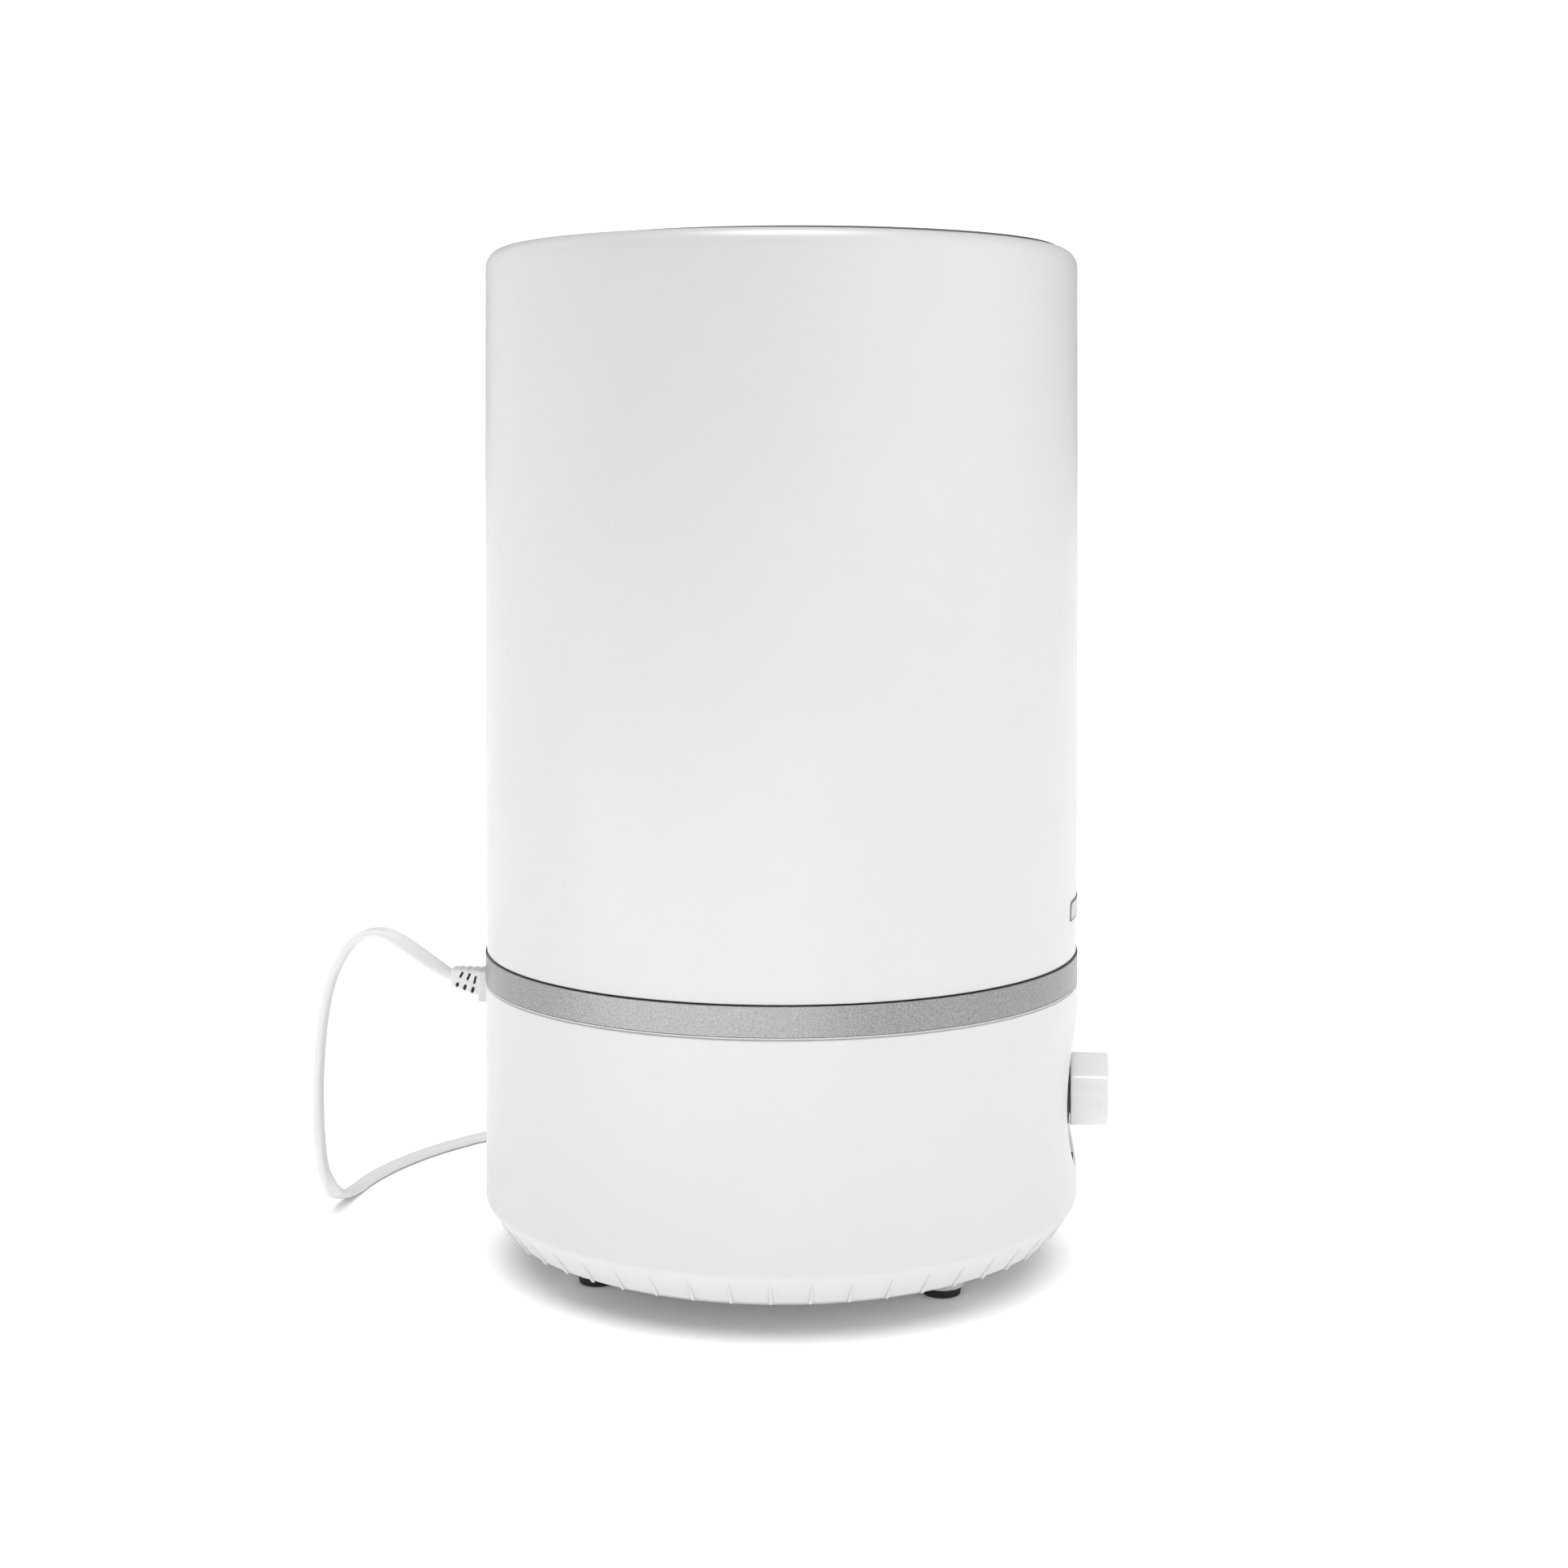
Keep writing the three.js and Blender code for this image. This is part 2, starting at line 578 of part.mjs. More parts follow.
/** A plate over the tank's front between two depths, domed at its upper corners. */
function badgeBlank(half, from, to, grow = 0) {
  const { z, h, corner } = BADGE;
  const low = z + grow;
  const high = z + h - grow;
  const shape = new THREE.Shape();
  shape.moveTo(-half, low);
  shape.lineTo(half, low);
  shape.absellipse(half - corner, high - corner, corner, corner, 0, Math.PI / 2, false, 0);
  shape.absellipse(corner - half, high - corner, corner, corner, Math.PI / 2, Math.PI, false, 0);
  shape.closePath();
  const slab = new THREE.ExtrudeGeometry(shape, { depth: 40, bevelEnabled: false, curveSegments: 6 })
    .rotateX(Math.PI / 2)
    .translate(0, -BODY_R + 30, 0);
  const skin = pipe(from, to, z - 5, z + h + 5, ROUND);
  return common(slab, skin);
}

/** Tank floor with the skirt that finds the base's collar and the threaded neck for the cap. */
function tankFloor() {
  const z = TANK_FLOOR_Z;
  const plate = revolve([
    [CHIMNEY.outer + 0.4, z],
    [89.2, z],
    [89.2, 97.2],
    [91.4, 97.2],
    [91.4, z],
    [INNER_R - FIT, z],
    [INNER_R - FIT, z + WALL],
    [CHIMNEY.outer + 0.4, z + WALL],
  ]);
  const neck = disc(19.5, 96, z + 1).translate(0, VALVE_Y, 0);
  const mouth = disc(17, 90, z + 5).translate(0, VALVE_Y, 0);
  return cut(join(plate, neck), mouth);
}

const mistChimney = () =>
  pipe(CHIMNEY.inner, CHIMNEY.outer, CHIMNEY.z, CHIMNEY.top, 32);

/** Screw cap with the valve's seat and the cage that guides the plunger. */
function valveCap() {
  const cup = revolve([
    [7, 86],
    [23, 86],
    [23, 103],
    [20, 103],
    [20, 88.5],
    [7, 88.5],
  ]);
  const cage = revolve([[11.5, 88], [13.5, 88], [13.5, 110], [3.3, 110], [3.3, 108], [11.5, 108]]);
  const windows = [0, 60, 120].map((a) =>
    block([-5, -16, 96], [5, 16, 105]).rotateZ(rad(a)),
  );
  return cut(join(cup, cage), ...windows).translate(0, VALVE_Y, 0);
}

const capGasket = () => pipe(16.8, 19.4, 93.6, 95.7).translate(0, VALVE_Y, 0);

const valvePlunger = () =>
  revolve(
    [[0, 82.3], [2.6, 82.3], [2.6, 90.9], [9.2, 90.9], [9.2, 92.6], [2.6, 92.6], [2.6, 112], [0, 112]],
    SMALL,
  ).translate(0, VALVE_Y, 0);

const valveSeal = () => pipe(2.9, 9.6, 88.8, 90.6).translate(0, VALVE_Y, 0);

/** Closing spring between the plunger's disc and the top of the cage. */
function valveSpring() {
  const turns = 4.5;
  const [low, high] = [93.6, 107.1];
  const points = [];
  const steps = 54;
  for (let i = 0; i <= steps; i++) {
    const a = (2 * Math.PI * turns * i) / steps;
    points.push([6.4 * Math.cos(a), VALVE_Y + 6.4 * Math.sin(a), low + ((high - low) * i) / steps]);
  }
  return sweep(points, 0.5, steps, 6);
}

// ---------------------------------------------------------------- lid and nozzle
/** Lid plate with its locating skirt, the collar that the nozzle turns in and a finger scoop. */
function topCover() {
  const z = TOTAL_H + LID.rise - LID.thick;
  const top = TOTAL_H + LID.rise;
  const plate = disc(LID.r, z, top, ROUND).translate(0, LID.shift, 0);
  const skirt = pipe(LID.skirtR - 2, LID.skirtR, LID.skirtZ, z + 1, ROUND).translate(0, LID.shift, 0);
  const collar = disc(26, 322.5, z + 1, 32);
  const throat = disc(23.3, 300, top + 5, 32);
  const scoop = new THREE.SphereGeometry(16, 20, 12).scale(1, 0.55, 1).translate(0, 66, top + 14.2);
  return cut(join(plate, skirt, collar), throat, scoop);
}

/** Turning outlet: a shallow dome with a slanted oval mouth on one side, over a short tube. */
function mistNozzle() {
  const { r, top, tubeOuter, tubeInner, tubeZ } = NOZZLE;
  const body = revolve(
    [
      [0, tubeZ],
      [tubeOuter, tubeZ],
      [tubeOuter, 319.6],
      [24.6, 319.6],
      [24.6, 321.8],
      [r, 322.4],
      [r, 333],
      [r - 1.4, 335.4],
      [r - 5, 337.4],
      [r - 12, top],
      [0, top],
    ],
    32,
  );
  const bore = revolve(
    [
      [0, tubeZ - 1],
      [tubeInner, tubeZ - 1],
      [tubeInner, 322],
      [r - 2.4, 325],
      [r - 2.4, 332.6],
      [r - 7, 334.8],
      [0, 335.6],
    ],
    32,
  );
  const mouth = new THREE.CylinderGeometry(1, 1, 30, SMALL)
    .rotateX(Math.PI / 2)
    .scale(11, 6.5, 1)
    .rotateX(rad(25))
    .translate(0, -10.5, 340);
  return cut(body, bore, mouth);
}

// ---------------------------------------------------------------- the assembly
piece("base_housing", baseHousing(), MATERIAL.shell);
piece("accent_band", accentBand(), MATERIAL.silver);
piece("water_basin", waterBasin(), MATERIAL.inner);
piece("bottom_cover", bottomCover(), MATERIAL.shell);
atCorners(FOOT.x, FOOT.y, (x, y, n) =>
  piece(`foot_pad_${n}`, disc(FOOT.r, 0, PAD_H).translate(x, y, 0), MATERIAL.rubber),
);
atCorners(POST.at, POST.at, (x, y, n) =>
  piece(`cover_screw_${n}`, coverScrew().translate(x, y, 0), MATERIAL.steel),
);

piece("transducer_disc", disc(10, 45.5, 46.5), MATERIAL.ceramic);
piece("transducer_seal", transducerSeal(), MATERIAL.seal);
piece("transducer_retainer", transducerRetainer(), MATERIAL.steel);
transducerScrewSpots((x, y, n) =>
  piece(`transducer_screw_${n}`, transducerScrew().translate(x, y, 0), MATERIAL.steel),
);
piece(
  "float",
  pipe(FLOAT.bore, FLOAT.r, FLOAT.z, FLOAT.z + FLOAT.h).translate(FLOAT.x, FLOAT.y, 0),
  MATERIAL.foam,
);
piece(
  "float_retainer",
  pipe(FLOAT_POST_R + FIT, 5, FLOAT_STOP_Z - 0.6, FLOAT_STOP_Z + 1, TINY).translate(FLOAT.x, FLOAT.y, 0),
  MATERIAL.inner,
);

piece("fan_frame", fanFrame().translate(FAN.x, FAN.y, 0), MATERIAL.fan);
piece("fan_impeller", fanImpeller().translate(FAN.x, FAN.y, 0), MATERIAL.fan);
piece("air_duct", airDuct().translate(FAN.x, FAN.y, 0), MATERIAL.inner);
piece("driver_board", driverBoard().translate(BOARD.x, BOARD.y, 0), MATERIAL.board);
atCorners(BOARD.postX, BOARD.postY, (x, y, n) =>
  piece(`board_screw_${n}`, boardScrew().translate(BOARD.x + x, BOARD.y + y, 0), MATERIAL.steel),
);
piece("heatsink", heatsink().translate(-50, -6, BOARD_TOP), MATERIAL.aluminium);
piece("transformer", transformer().translate(-12, -14, BOARD_TOP), MATERIAL.component);
piece(
  "mains_capacitor",
  disc(7, BOARD_TOP, BOARD_TOP + 18).translate(-16, 14, 0),
  MATERIAL.component,
);

piece("potentiometer", potentiometer(), MATERIAL.steel);
piece("pot_nut", potNut(), MATERIAL.steel);
piece("pot_shaft", forwards(disc(2.9, 83, KNOB.front - 4.5, TINY * 2)), MATERIAL.brass);
piece("dial_ring", forwards(pipe(12.6, 16, DISH.floorY + FIT, DISH.floorY + 1.1, 32)), MATERIAL.dial);
piece("indicator_lens", forwards(disc(LENS.r, LENS.back, LENS.front, TINY), LENS.z), MATERIAL.lens);
piece("knob", knob(), MATERIAL.shell);

piece("mains_lead", sweep(MAINS_LEAD_POINTS, 1.5, 22), MATERIAL.cord);
piece("transducer_lead", sweep(TRANSDUCER_LEAD_POINTS, 1, 12, 6), MATERIAL.component);
piece("fan_lead", sweep(FAN_LEAD_POINTS, 1, 10, 6), MATERIAL.component);
piece("control_lead", sweep(CONTROL_LEAD_POINTS, 1.2, 12, 6), MATERIAL.component);

piece("cord_gland", cordGland(), MATERIAL.cord);
piece("cord_run", sweep(RUN_POINTS, CORD.thick / 2, 62), MATERIAL.cord);
piece(
  "cord_coil",
  pipe(COIL.inner, COIL.outer, COIL.z, COIL.top, 36).translate(COIL.x, COIL.y, 0),
  MATERIAL.cord,
);
piece("cord_tail", sweep(TAIL_POINTS, CORD.thick / 2, 10), MATERIAL.cord);
piece("cord_tie", cordTie(), MATERIAL.dial);
piece("plug_body", plugBody(), MATERIAL.cord);
piece("plug_blade_1", plugBlade(1), MATERIAL.brass);
piece("plug_blade_2", plugBlade(-1), MATERIAL.brass);

piece("tank_shell", tankShell(), MATERIAL.shell);
piece("tank_floor", tankFloor(), MATERIAL.inner);
piece("mist_chimney", mistChimney(), MATERIAL.inner);
piece("front_badge", badgeBlank(BADGE.half, BODY_R - 0.7, BODY_R), MATERIAL.silver);
piece("valve_cap", valveCap(), MATERIAL.inner);
piece("cap_gasket", capGasket(), MATERIAL.rubber);
piece("valve_plunger", valvePlunger(), MATERIAL.inner);
piece("valve_seal", valveSeal(), MATERIAL.rubber);
piece("valve_spring", valveSpring(), MATERIAL.steel);
piece("top_cover", topCover(), MATERIAL.lid);
piece("mist_nozzle", mistNozzle(), MATERIAL.lid);

export default group;
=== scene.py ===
"""Cool mist humidifier: fine surfaces, materials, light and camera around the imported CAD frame."""

import json
from math import asin, atan2, copysign, cos, hypot, pi, radians, sin, sqrt, tan

import bmesh
import bpy
from mathutils import Matrix, Vector


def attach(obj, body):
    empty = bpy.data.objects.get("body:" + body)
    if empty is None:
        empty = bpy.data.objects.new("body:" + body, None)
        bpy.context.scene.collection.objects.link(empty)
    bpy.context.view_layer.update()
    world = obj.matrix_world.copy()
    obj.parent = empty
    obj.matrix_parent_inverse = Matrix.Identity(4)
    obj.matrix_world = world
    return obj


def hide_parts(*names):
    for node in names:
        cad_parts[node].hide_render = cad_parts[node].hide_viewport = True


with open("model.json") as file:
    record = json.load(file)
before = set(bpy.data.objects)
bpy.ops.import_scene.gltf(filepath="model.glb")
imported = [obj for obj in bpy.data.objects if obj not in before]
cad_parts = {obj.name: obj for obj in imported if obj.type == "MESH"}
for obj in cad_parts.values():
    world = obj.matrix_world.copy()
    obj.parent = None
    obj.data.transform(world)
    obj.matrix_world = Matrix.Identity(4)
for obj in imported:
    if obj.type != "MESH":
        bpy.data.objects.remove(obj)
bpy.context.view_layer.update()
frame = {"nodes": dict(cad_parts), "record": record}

MM = 0.001
SHARP_FROM = radians(38)  # edges bent more than this stay crisp
SOFT_SEGMENTS = 3  # steps across a soft box's edge
WEIGHTED = "weighted normals"

# ---------------- sizes, in millimetres
BODY_R = 98.0
WALL = 2.5
SIDES = 180  # columns of a large round piece
MEDIUM = 72  # columns of a knob or cap
SMALL = 40  # columns of a foot or screw

BASE_LOW, BASE_TOP = 22.6, 92.15
BAND_LOW, BAND_TOP = 92.2, 102.05
TANK_LOW, TANK_TOP = 102.4, 332.0
RIM_FILLET = 6.0
LID_SHIFT = -5.0
LID_R = 86.0
LID_TOP = 332.95
DECK_TOP = 95.5
KNOB_Z = 56.0


# ---------------- camera
# The camera stands beside the object, a little towards its front, and looks slightly down.
VIEW_TURN = radians(-84.2)
VIEW_PITCH = radians(1.6)
VIEW_DISTANCE = 0.8384
VIEW_HEIGHT = 0.2625


def make_camera():
    data = bpy.data.cameras.new("camera")
    data.sensor_width = 36
    data.lens = 58.0
    data.shift_x = 0.00157
    data.shift_y = -0.16
    camera = bpy.data.objects.new("camera", data)
    bpy.context.collection.objects.link(camera)
    camera.location = (
        sin(VIEW_TURN) * VIEW_DISTANCE,
        -cos(VIEW_TURN) * VIEW_DISTANCE,
        VIEW_HEIGHT,
    )
    camera.rotation_euler = (pi / 2 - VIEW_PITCH, 0, VIEW_TURN)
    bpy.context.scene.camera = camera


make_camera()


# ---------------- mesh helpers
def angles(count):
    """Evenly spaced angles of one full turn."""
    return [2 * pi * k / count for k in range(count)]


def new_object(name, points, faces):
    """An object from points in millimetres, with its faces turned outwards."""
    mesh = bpy.data.meshes.new(name)
    mesh.from_pydata([Vector(p) * MM for p in points], [], faces)
    work = bmesh.new()
    work.from_mesh(mesh)
    bmesh.ops.recalc_face_normals(work, faces=work.faces)
    work.to_mesh(mesh)
    work.free()
    item = bpy.data.objects.new(name, mesh)
    bpy.context.collection.objects.link(item)
    return item


def add_mesh(name, points, faces, body, slot, material=None):
    """A new piece that rides on a CAD body, smooth but for its sharp edges."""
    piece = new_object(name, points, faces)
    piece.data.shade_smooth()
    piece.data.set_sharp_from_angle(angle=SHARP_FROM)
    weighted = piece.modifiers.new(WEIGHTED, "WEIGHTED_NORMAL")
    weighted.weight = 80
    weighted.keep_sharp = True
    piece.data.materials.append(material or SLOT_MATERIALS[slot])
    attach(piece, body)
    return piece


def rounded(corners, steps=4):
    """A closed outline of (radius, height, fillet) corners with each fillet turned into an arc."""
    outline = []
    for i, (x, y, fillet) in enumerate(corners):
        here = Vector((x, y))
        if fillet == 0:
            outline.append((x, y))
            continue
        before = (Vector(corners[i - 1][:2]) - here).normalized()
        after = (Vector(corners[(i + 1) % len(corners)][:2]) - here).normalized()
        half = before.angle(after) / 2
        start = here + before * fillet / tan(half)
        end = here + after * fillet / tan(half)
        centre = here + (before + after).normalized() * fillet / sin(half)
        sweep = pi - 2 * half
        for k in range(steps + 1):
            t = k / steps
            spoke = (start - centre) * sin((1 - t) * sweep) + (end - centre) * sin(t * sweep)
            outline.append(tuple(centre + spoke / sin(sweep)))
    return outline


def lathe(outline, sides=SIDES, x=0.0, y=0.0):
    """Turns an outline of (radius, height) or (radius, height, shift in Y) about a line along Z."""
    points, rows = [], []
    for radius, height, *shift in outline:
        middle = y + (shift[0] if shift else 0)
        if radius < 1e-6:
            rows.append([len(points)] * sides)
            points.append((x, middle, height))
            continue
        rows.append(list(range(len(points), len(points) + sides)))
        for a in angles(sides):
            points.append((x + radius * cos(a), middle + radius * sin(a), height))
    faces = []
    for low, high in zip(rows, rows[1:] + rows[:1]):
        for k in range(sides):
            n = (k + 1) % sides
            face = list(dict.fromkeys((low[k], low[n], high[n], high[k])))
            if len(face) > 2:  # no face joins two points of the axis
                faces.append(face)
    return points, faces


def turned(name, corners, body, slot, sides=SIDES, x=0.0, y=0.0, material=None):
    """A lathe piece from (radius, height, fillet) corners."""
    return add_mesh(name, *lathe(rounded(corners), sides, x, y), body, slot, material)


def strips(rows, count, closed=False):
    """Quads between neighbouring rows, each row a ring of count points."""
    faces = []
    for i in range(rows if closed else rows - 1):
        low, high = i * count, (i + 1) % rows * count
        for k in range(count):
            n = (k + 1) % count
            faces.append([low + k, low + n, high + n, high + k])
    return faces


def capped_strips(rows, count):
    """Quads between the rows, with a face over the first row and one over the last."""
    last = (rows - 1) * count
    return strips(rows, count) + [list(range(count)), [last + k for k in range(count)]]


def facing_front(shape, z=KNOB_Z):
    """Carries a shape turned about Z to the front: its heights become distances towards -Y."""
    points, faces = shape
    return [(px, -pz, py + z) for px, py, pz in points], faces


def cut(piece, shapes):
    """Cuts shapes out of a piece and bakes the result."""
    cutters = [new_object("cutter", *shape) for shape in shapes]
    for cutter in cutters:
        boolean = piece.modifiers.new("cut", "BOOLEAN")
        boolean.operation = "DIFFERENCE"
        boolean.solver = "EXACT"
        boolean.object = cutter
        piece.modifiers.move(len(piece.modifiers) - 1, 0)
    weighted = piece.modifiers[WEIGHTED]
    weighted.show_viewport = False
    bpy.context.view_layer.update()
    graph = bpy.context.evaluated_depsgraph_get()
    baked = bpy.data.meshes.new_from_object(piece.evaluated_get(graph))
    weighted.show_viewport = True
    for modifier in [m for m in piece.modifiers if m.type == "BOOLEAN"]:
        piece.modifiers.remove(modifier)
    baked.set_sharp_from_angle(angle=SHARP_FROM)
    piece.data = baked
    for cutter in cutters:
        bpy.data.objects.remove(cutter)


def soft_box(size, bevel, place=Matrix()):
    """Points and faces of a box with rounded edges, about the origin and then placed."""
    work = bmesh.new()
    bmesh.ops.create_cube(work, size=1)
    bmesh.ops.scale(work, vec=size, verts=work.verts)
    bmesh.ops.bevel(
        work, geom=work.edges[:], offset=bevel, segments=SOFT_SEGMENTS, profile=0.5, affect="EDGES"
    )
    work.verts.index_update()
    points = [place @ v.co for v in work.verts]
    faces = [[v.index for v in f.verts] for f in work.faces]
    work.free()
    return points, faces


def merged(shapes):
    """Several (points, faces) as one."""
    points, faces = [], []
    for more_points, more_faces in shapes:
        first = len(points)
        points += list(more_points)
        faces += [[first + i for i in face] for face in more_faces]
    return points, faces


def half_circle(x, r, side, steps):
    """Points round the end of a slot along X, whose end on that side is centred at x."""
    turns = [pi * (k / steps - 0.5) + (0 if side > 0 else pi) for k in range(steps + 1)]
    return [(x + r * cos(a), r * sin(a)) for a in turns]


def four_corners(x, y):
    return [(x, y), (-x, y), (-x, -y), (x, -y)]


# ---------------- materials
def new_material(name):
    material = bpy.data.materials.new(name)
    material.use_nodes = True
    tree = material.node_tree
    return material, tree, tree.nodes["Principled BSDF"]


def new_node(tree, kind, **values):
    """A node with some inputs set. An underscore in an input's name stands for a space."""
    node = tree.nodes.new(kind)
    for name, value in values.items():
        node.inputs[name.replace("_", " ")].default_value = value
    return node


def noise(tree, scale, detail, roughness=0.5):
    """A noise texture in object space."""
    texture = new_node(tree, "ShaderNodeTexNoise", Scale=scale, Detail=detail, Roughness=roughness)
    place = tree.nodes.new("ShaderNodeTexCoord")
    tree.links.new(place.outputs["Object"], texture.inputs["Vector"])
    return texture.outputs["Fac"]


def spread_values(tree, value, low, high):
    """Maps a noise, most of whose values lie from 0.3 to 0.7, to a range."""
    ramp = new_node(tree, "ShaderNodeMapRange", From_Min=0.3, From_Max=0.7, To_Min=low, To_Max=high)
    tree.links.new(value, ramp.inputs["Value"])
    return ramp.outputs["Result"]


def tint(tree, value, dark, light, shader):
    """Colours the shader between two colours by a value."""
    mix = tree.nodes.new("ShaderNodeMix")
    mix.data_type = "RGBA"
    mix.inputs["A"].default_value = (*dark, 1)
    mix.inputs["B"].default_value = (*light, 1)
    tree.links.new(value, mix.inputs["Factor"])
    tree.links.new(mix.outputs["Result"], shader.inputs["Base Color"])


def gloss(tree, value, rough, swing, shader):
    """Lets the shader's roughness swing about its mean by a value."""
    uneven = spread_values(tree, value, rough - swing, rough + swing)
    tree.links.new(uneven, shader.inputs["Roughness"])


def bump(tree, height, distance, shader):
    node = new_node(tree, "ShaderNodeBump", Distance=distance, Strength=1.0)
    tree.links.new(height, node.inputs["Height"])
    tree.links.new(node.outputs["Normal"], shader.inputs["Normal"])


def moulded(name, colour, rough, shade=0.03, grain=2600, depth=0.00001, coat=0.0):
    """Moulded plastic or rubber: slow colour drift, fine grain and uneven gloss."""
    material, tree, shader = new_material(name)
    shader.inputs["Coat Weight"].default_value = coat
    drift = spread_values(tree, noise(tree, 22, 3), 0, 1)
    tint(tree, drift, [c * (1 - shade) for c in colour], colour, shader)
    gloss(tree, noise(tree, 160, 3), rough, 0.03, shader)
    bump(tree, noise(tree, grain, 2), depth, shader)
    return material


def grained_metal(name, dark, light, rough, grain=2200, metallic=0.85, depth=0.000006):
    """Silver paint or die-cast metal whose flakes show as a fine speckle."""
    material, tree, shader = new_material(name)
    shader.inputs["Metallic"].default_value = metallic
    flakes = noise(tree, grain, 3, 0.7)
    tint(tree, spread_values(tree, flakes, 0, 1), dark, light, shader)
    gloss(tree, flakes, rough, 0.08, shader)
    bump(tree, flakes, depth, shader)
    return material


def circuit_board_material():
    """Green solder mask with paler copper tracks showing through."""
    material, tree, shader = new_material("circuit_board")
    texture = new_node(tree, "ShaderNodeTexVoronoi", Scale=220)
    texture.distance = "CHEBYCHEV"
    texture.feature = "DISTANCE_TO_EDGE"
    place = tree.nodes.new("ShaderNodeTexCoord")
    tree.links.new(place.outputs["Object"], texture.inputs["Vector"])
    tracks = new_node(tree, "ShaderNodeMapRange", From_Max=0.06)
    tree.links.new(texture.outputs["Distance"], tracks.inputs["Value"])
    tint(tree, tracks.outputs["Result"], (0.08, 0.3, 0.12), (0.02, 0.12, 0.05), shader)
    shader.inputs["Roughness"].default_value = 0.35
    bump(tree, tracks.outputs["Result"], 0.00004, shader)
    return material


def grey(value):
    return (value, value, value)


# (colour, roughness, what differs from the usual grain) of each moulded slot
WHITE_GRAIN = {"shade": 0.012, "grain": 3200, "depth": 0.000006}
MOULDED = {
    "white_shell": ((0.62, 0.622, 0.624), 0.36, WHITE_GRAIN),
    "inner_plastic": ((0.62, 0.64, 0.66), 0.42, {"shade": 0.04}),
    "black_rubber": ((0.012, 0.012, 0.013), 0.75, {"shade": 0.3, "grain": 1800, "depth": 0.00003}),
    "seal_rubber": ((0.45, 0.47, 0.49), 0.7, {"shade": 0.1, "grain": 1800, "depth": 0.00002}),
    "dark_trim": ((0.035, 0.035, 0.038), 0.45, {"shade": 0.2}),
    "dark_lens": ((0.02, 0.024, 0.03), 0.12, {"shade": 0.1, "depth": 0.000002, "coat": 0.6}),
    "white_cord": ((0.74, 0.74, 0.745), 0.48, {"grain": 1500, "depth": 0.00002}),
    "float_foam": ((0.8, 0.8, 0.76), 0.85, {"shade": 0.12, "grain": 700, "depth": 0.0001}),
    "fan_plastic": ((0.02, 0.02, 0.022), 0.45, {"shade": 0.2}),
    "component_plastic": ((0.03, 0.03, 0.034), 0.35, {"shade": 0.2}),
    "piezo_ceramic": ((0.62, 0.58, 0.48), 0.3, {"shade": 0.08}),
}
# (dark flakes, light flakes, roughness, grain, metallic) of each bare metal
METALS = {
    "steel": ((0.5, 0.5, 0.51), (0.66, 0.66, 0.67), 0.32, 900, 1.0),
    "brass": ((0.6, 0.44, 0.2), (0.74, 0.58, 0.3), 0.28, 900, 1.0),
    "heatsink_metal": ((0.5, 0.5, 0.52), (0.66, 0.66, 0.68), 0.38, 700, 1.0),
}
SLOT_MATERIALS = {
    "silver_trim": grained_metal("silver_band", grey(0.14), grey(0.38), 0.38),
    "grey_cover": grained_metal(
        "grey_cover", (0.1, 0.1, 0.103), (0.145, 0.145, 0.148), 0.4, metallic=0.3
    ),
    "circuit_board": circuit_board_material(),
}
for plastic, (base_colour, gloss_level, grain_look) in MOULDED.items():
    SLOT_MATERIALS[plastic] = moulded(plastic, base_colour, gloss_level, **grain_look)
for metal, metal_look in METALS.items():
    SLOT_MATERIALS[metal] = grained_metal(metal, *metal_look)
KNOB = moulded("white_knob", (0.76, 0.762, 0.764), 0.3, **WHITE_GRAIN)
# A paler silver: the inlay's own face, and a painted highlight on the band's lower edge.
PALE_SILVER_AND_EDGE_HIGHLIGHT = grained_metal("pale_silver_and_edge_highlight", grey(0.42), grey(0.55), 0.4, metallic=0.6)


def dress_frame():
    """Gives every CAD node that stays in view the material of its slot."""
    for part in frame["record"]["subparts"]:
        node = frame["nodes"][part["node"]]
        for place in node.material_slots:
            place.link = "OBJECT"
            place.material = SLOT_MATERIALS[part["material_slot"]]


dress_frame()


# ---------------- cord
CORD_WIDE, CORD_THICK, CORD_VALLEY = 5.4, 2.9, 0.22
CORD_REST_Z = 1.6
RUNS_LEVEL = 0.6  # sine of the angle from upright, from which the cord counts as level
SETTLING = 0.15  # share of the way to lying flat, at each step
# (x, y, z, roll): roll is the turn of the flat side about the cord, in degrees, 0 lying flat
RUN = [
    (0, 108.5, 87.8, 0), (0, 112.8, 89.6, -14), (0, 119.5, 93.6, -42), (0, 126.5, 98.3, -50),
    (0, 133, 102.2, -30), (0, 139, 103.3, -6), (0.5, 145, 100.8, 0), (1, 150, 95, 0),
    (2, 154.3, 86, 0), (3, 157.3, 74, 0), (4.5, 159.2, 60, 0), (6, 160.2, 46, 0),
    (8.5, 160.6, 32, 0), (13, 160.8, 19.5, 0), (21, 160.4, 9.5, 0), (33, 159.6, 3.6, 0),
    (47, 158.5, CORD_REST_Z, 0), (62, 156.5, CORD_REST_Z, 0), (80, 151.5, CORD_REST_Z, 0),
    (99, 143, CORD_REST_Z, 0), (118, 130.5, CORD_REST_Z, 0), (136, 114, CORD_REST_Z, 0),
    (151, 94.5, CORD_REST_Z, 0), (163, 71.5, CORD_REST_Z, 0), (171, 47, CORD_REST_Z, 0),
    (174, 25, 2.2, 0),
]
TAIL = [
    (107.4, 6, 8.2, 0), (108.3, 16, 6.8, 0), (110, 27, 5.9, 0), (112.5, 38, 6.0, 0),
    (115, 48, 6.4, 0),
]
COIL_X, COIL_Y = 141.0, -12.0
COIL_INNER, COIL_OUTER = 27.9, 33.5  # the two columns of turns
COIL_LAYERS = (2.7, 5.8, 8.9)
COIL_START, COIL_END = 22.0, -2004.0  # degrees, clockwise from above
STEPS_A_TURN = 24
EASE_FROM = 0.82  # share of a turn after which it eases over to the next
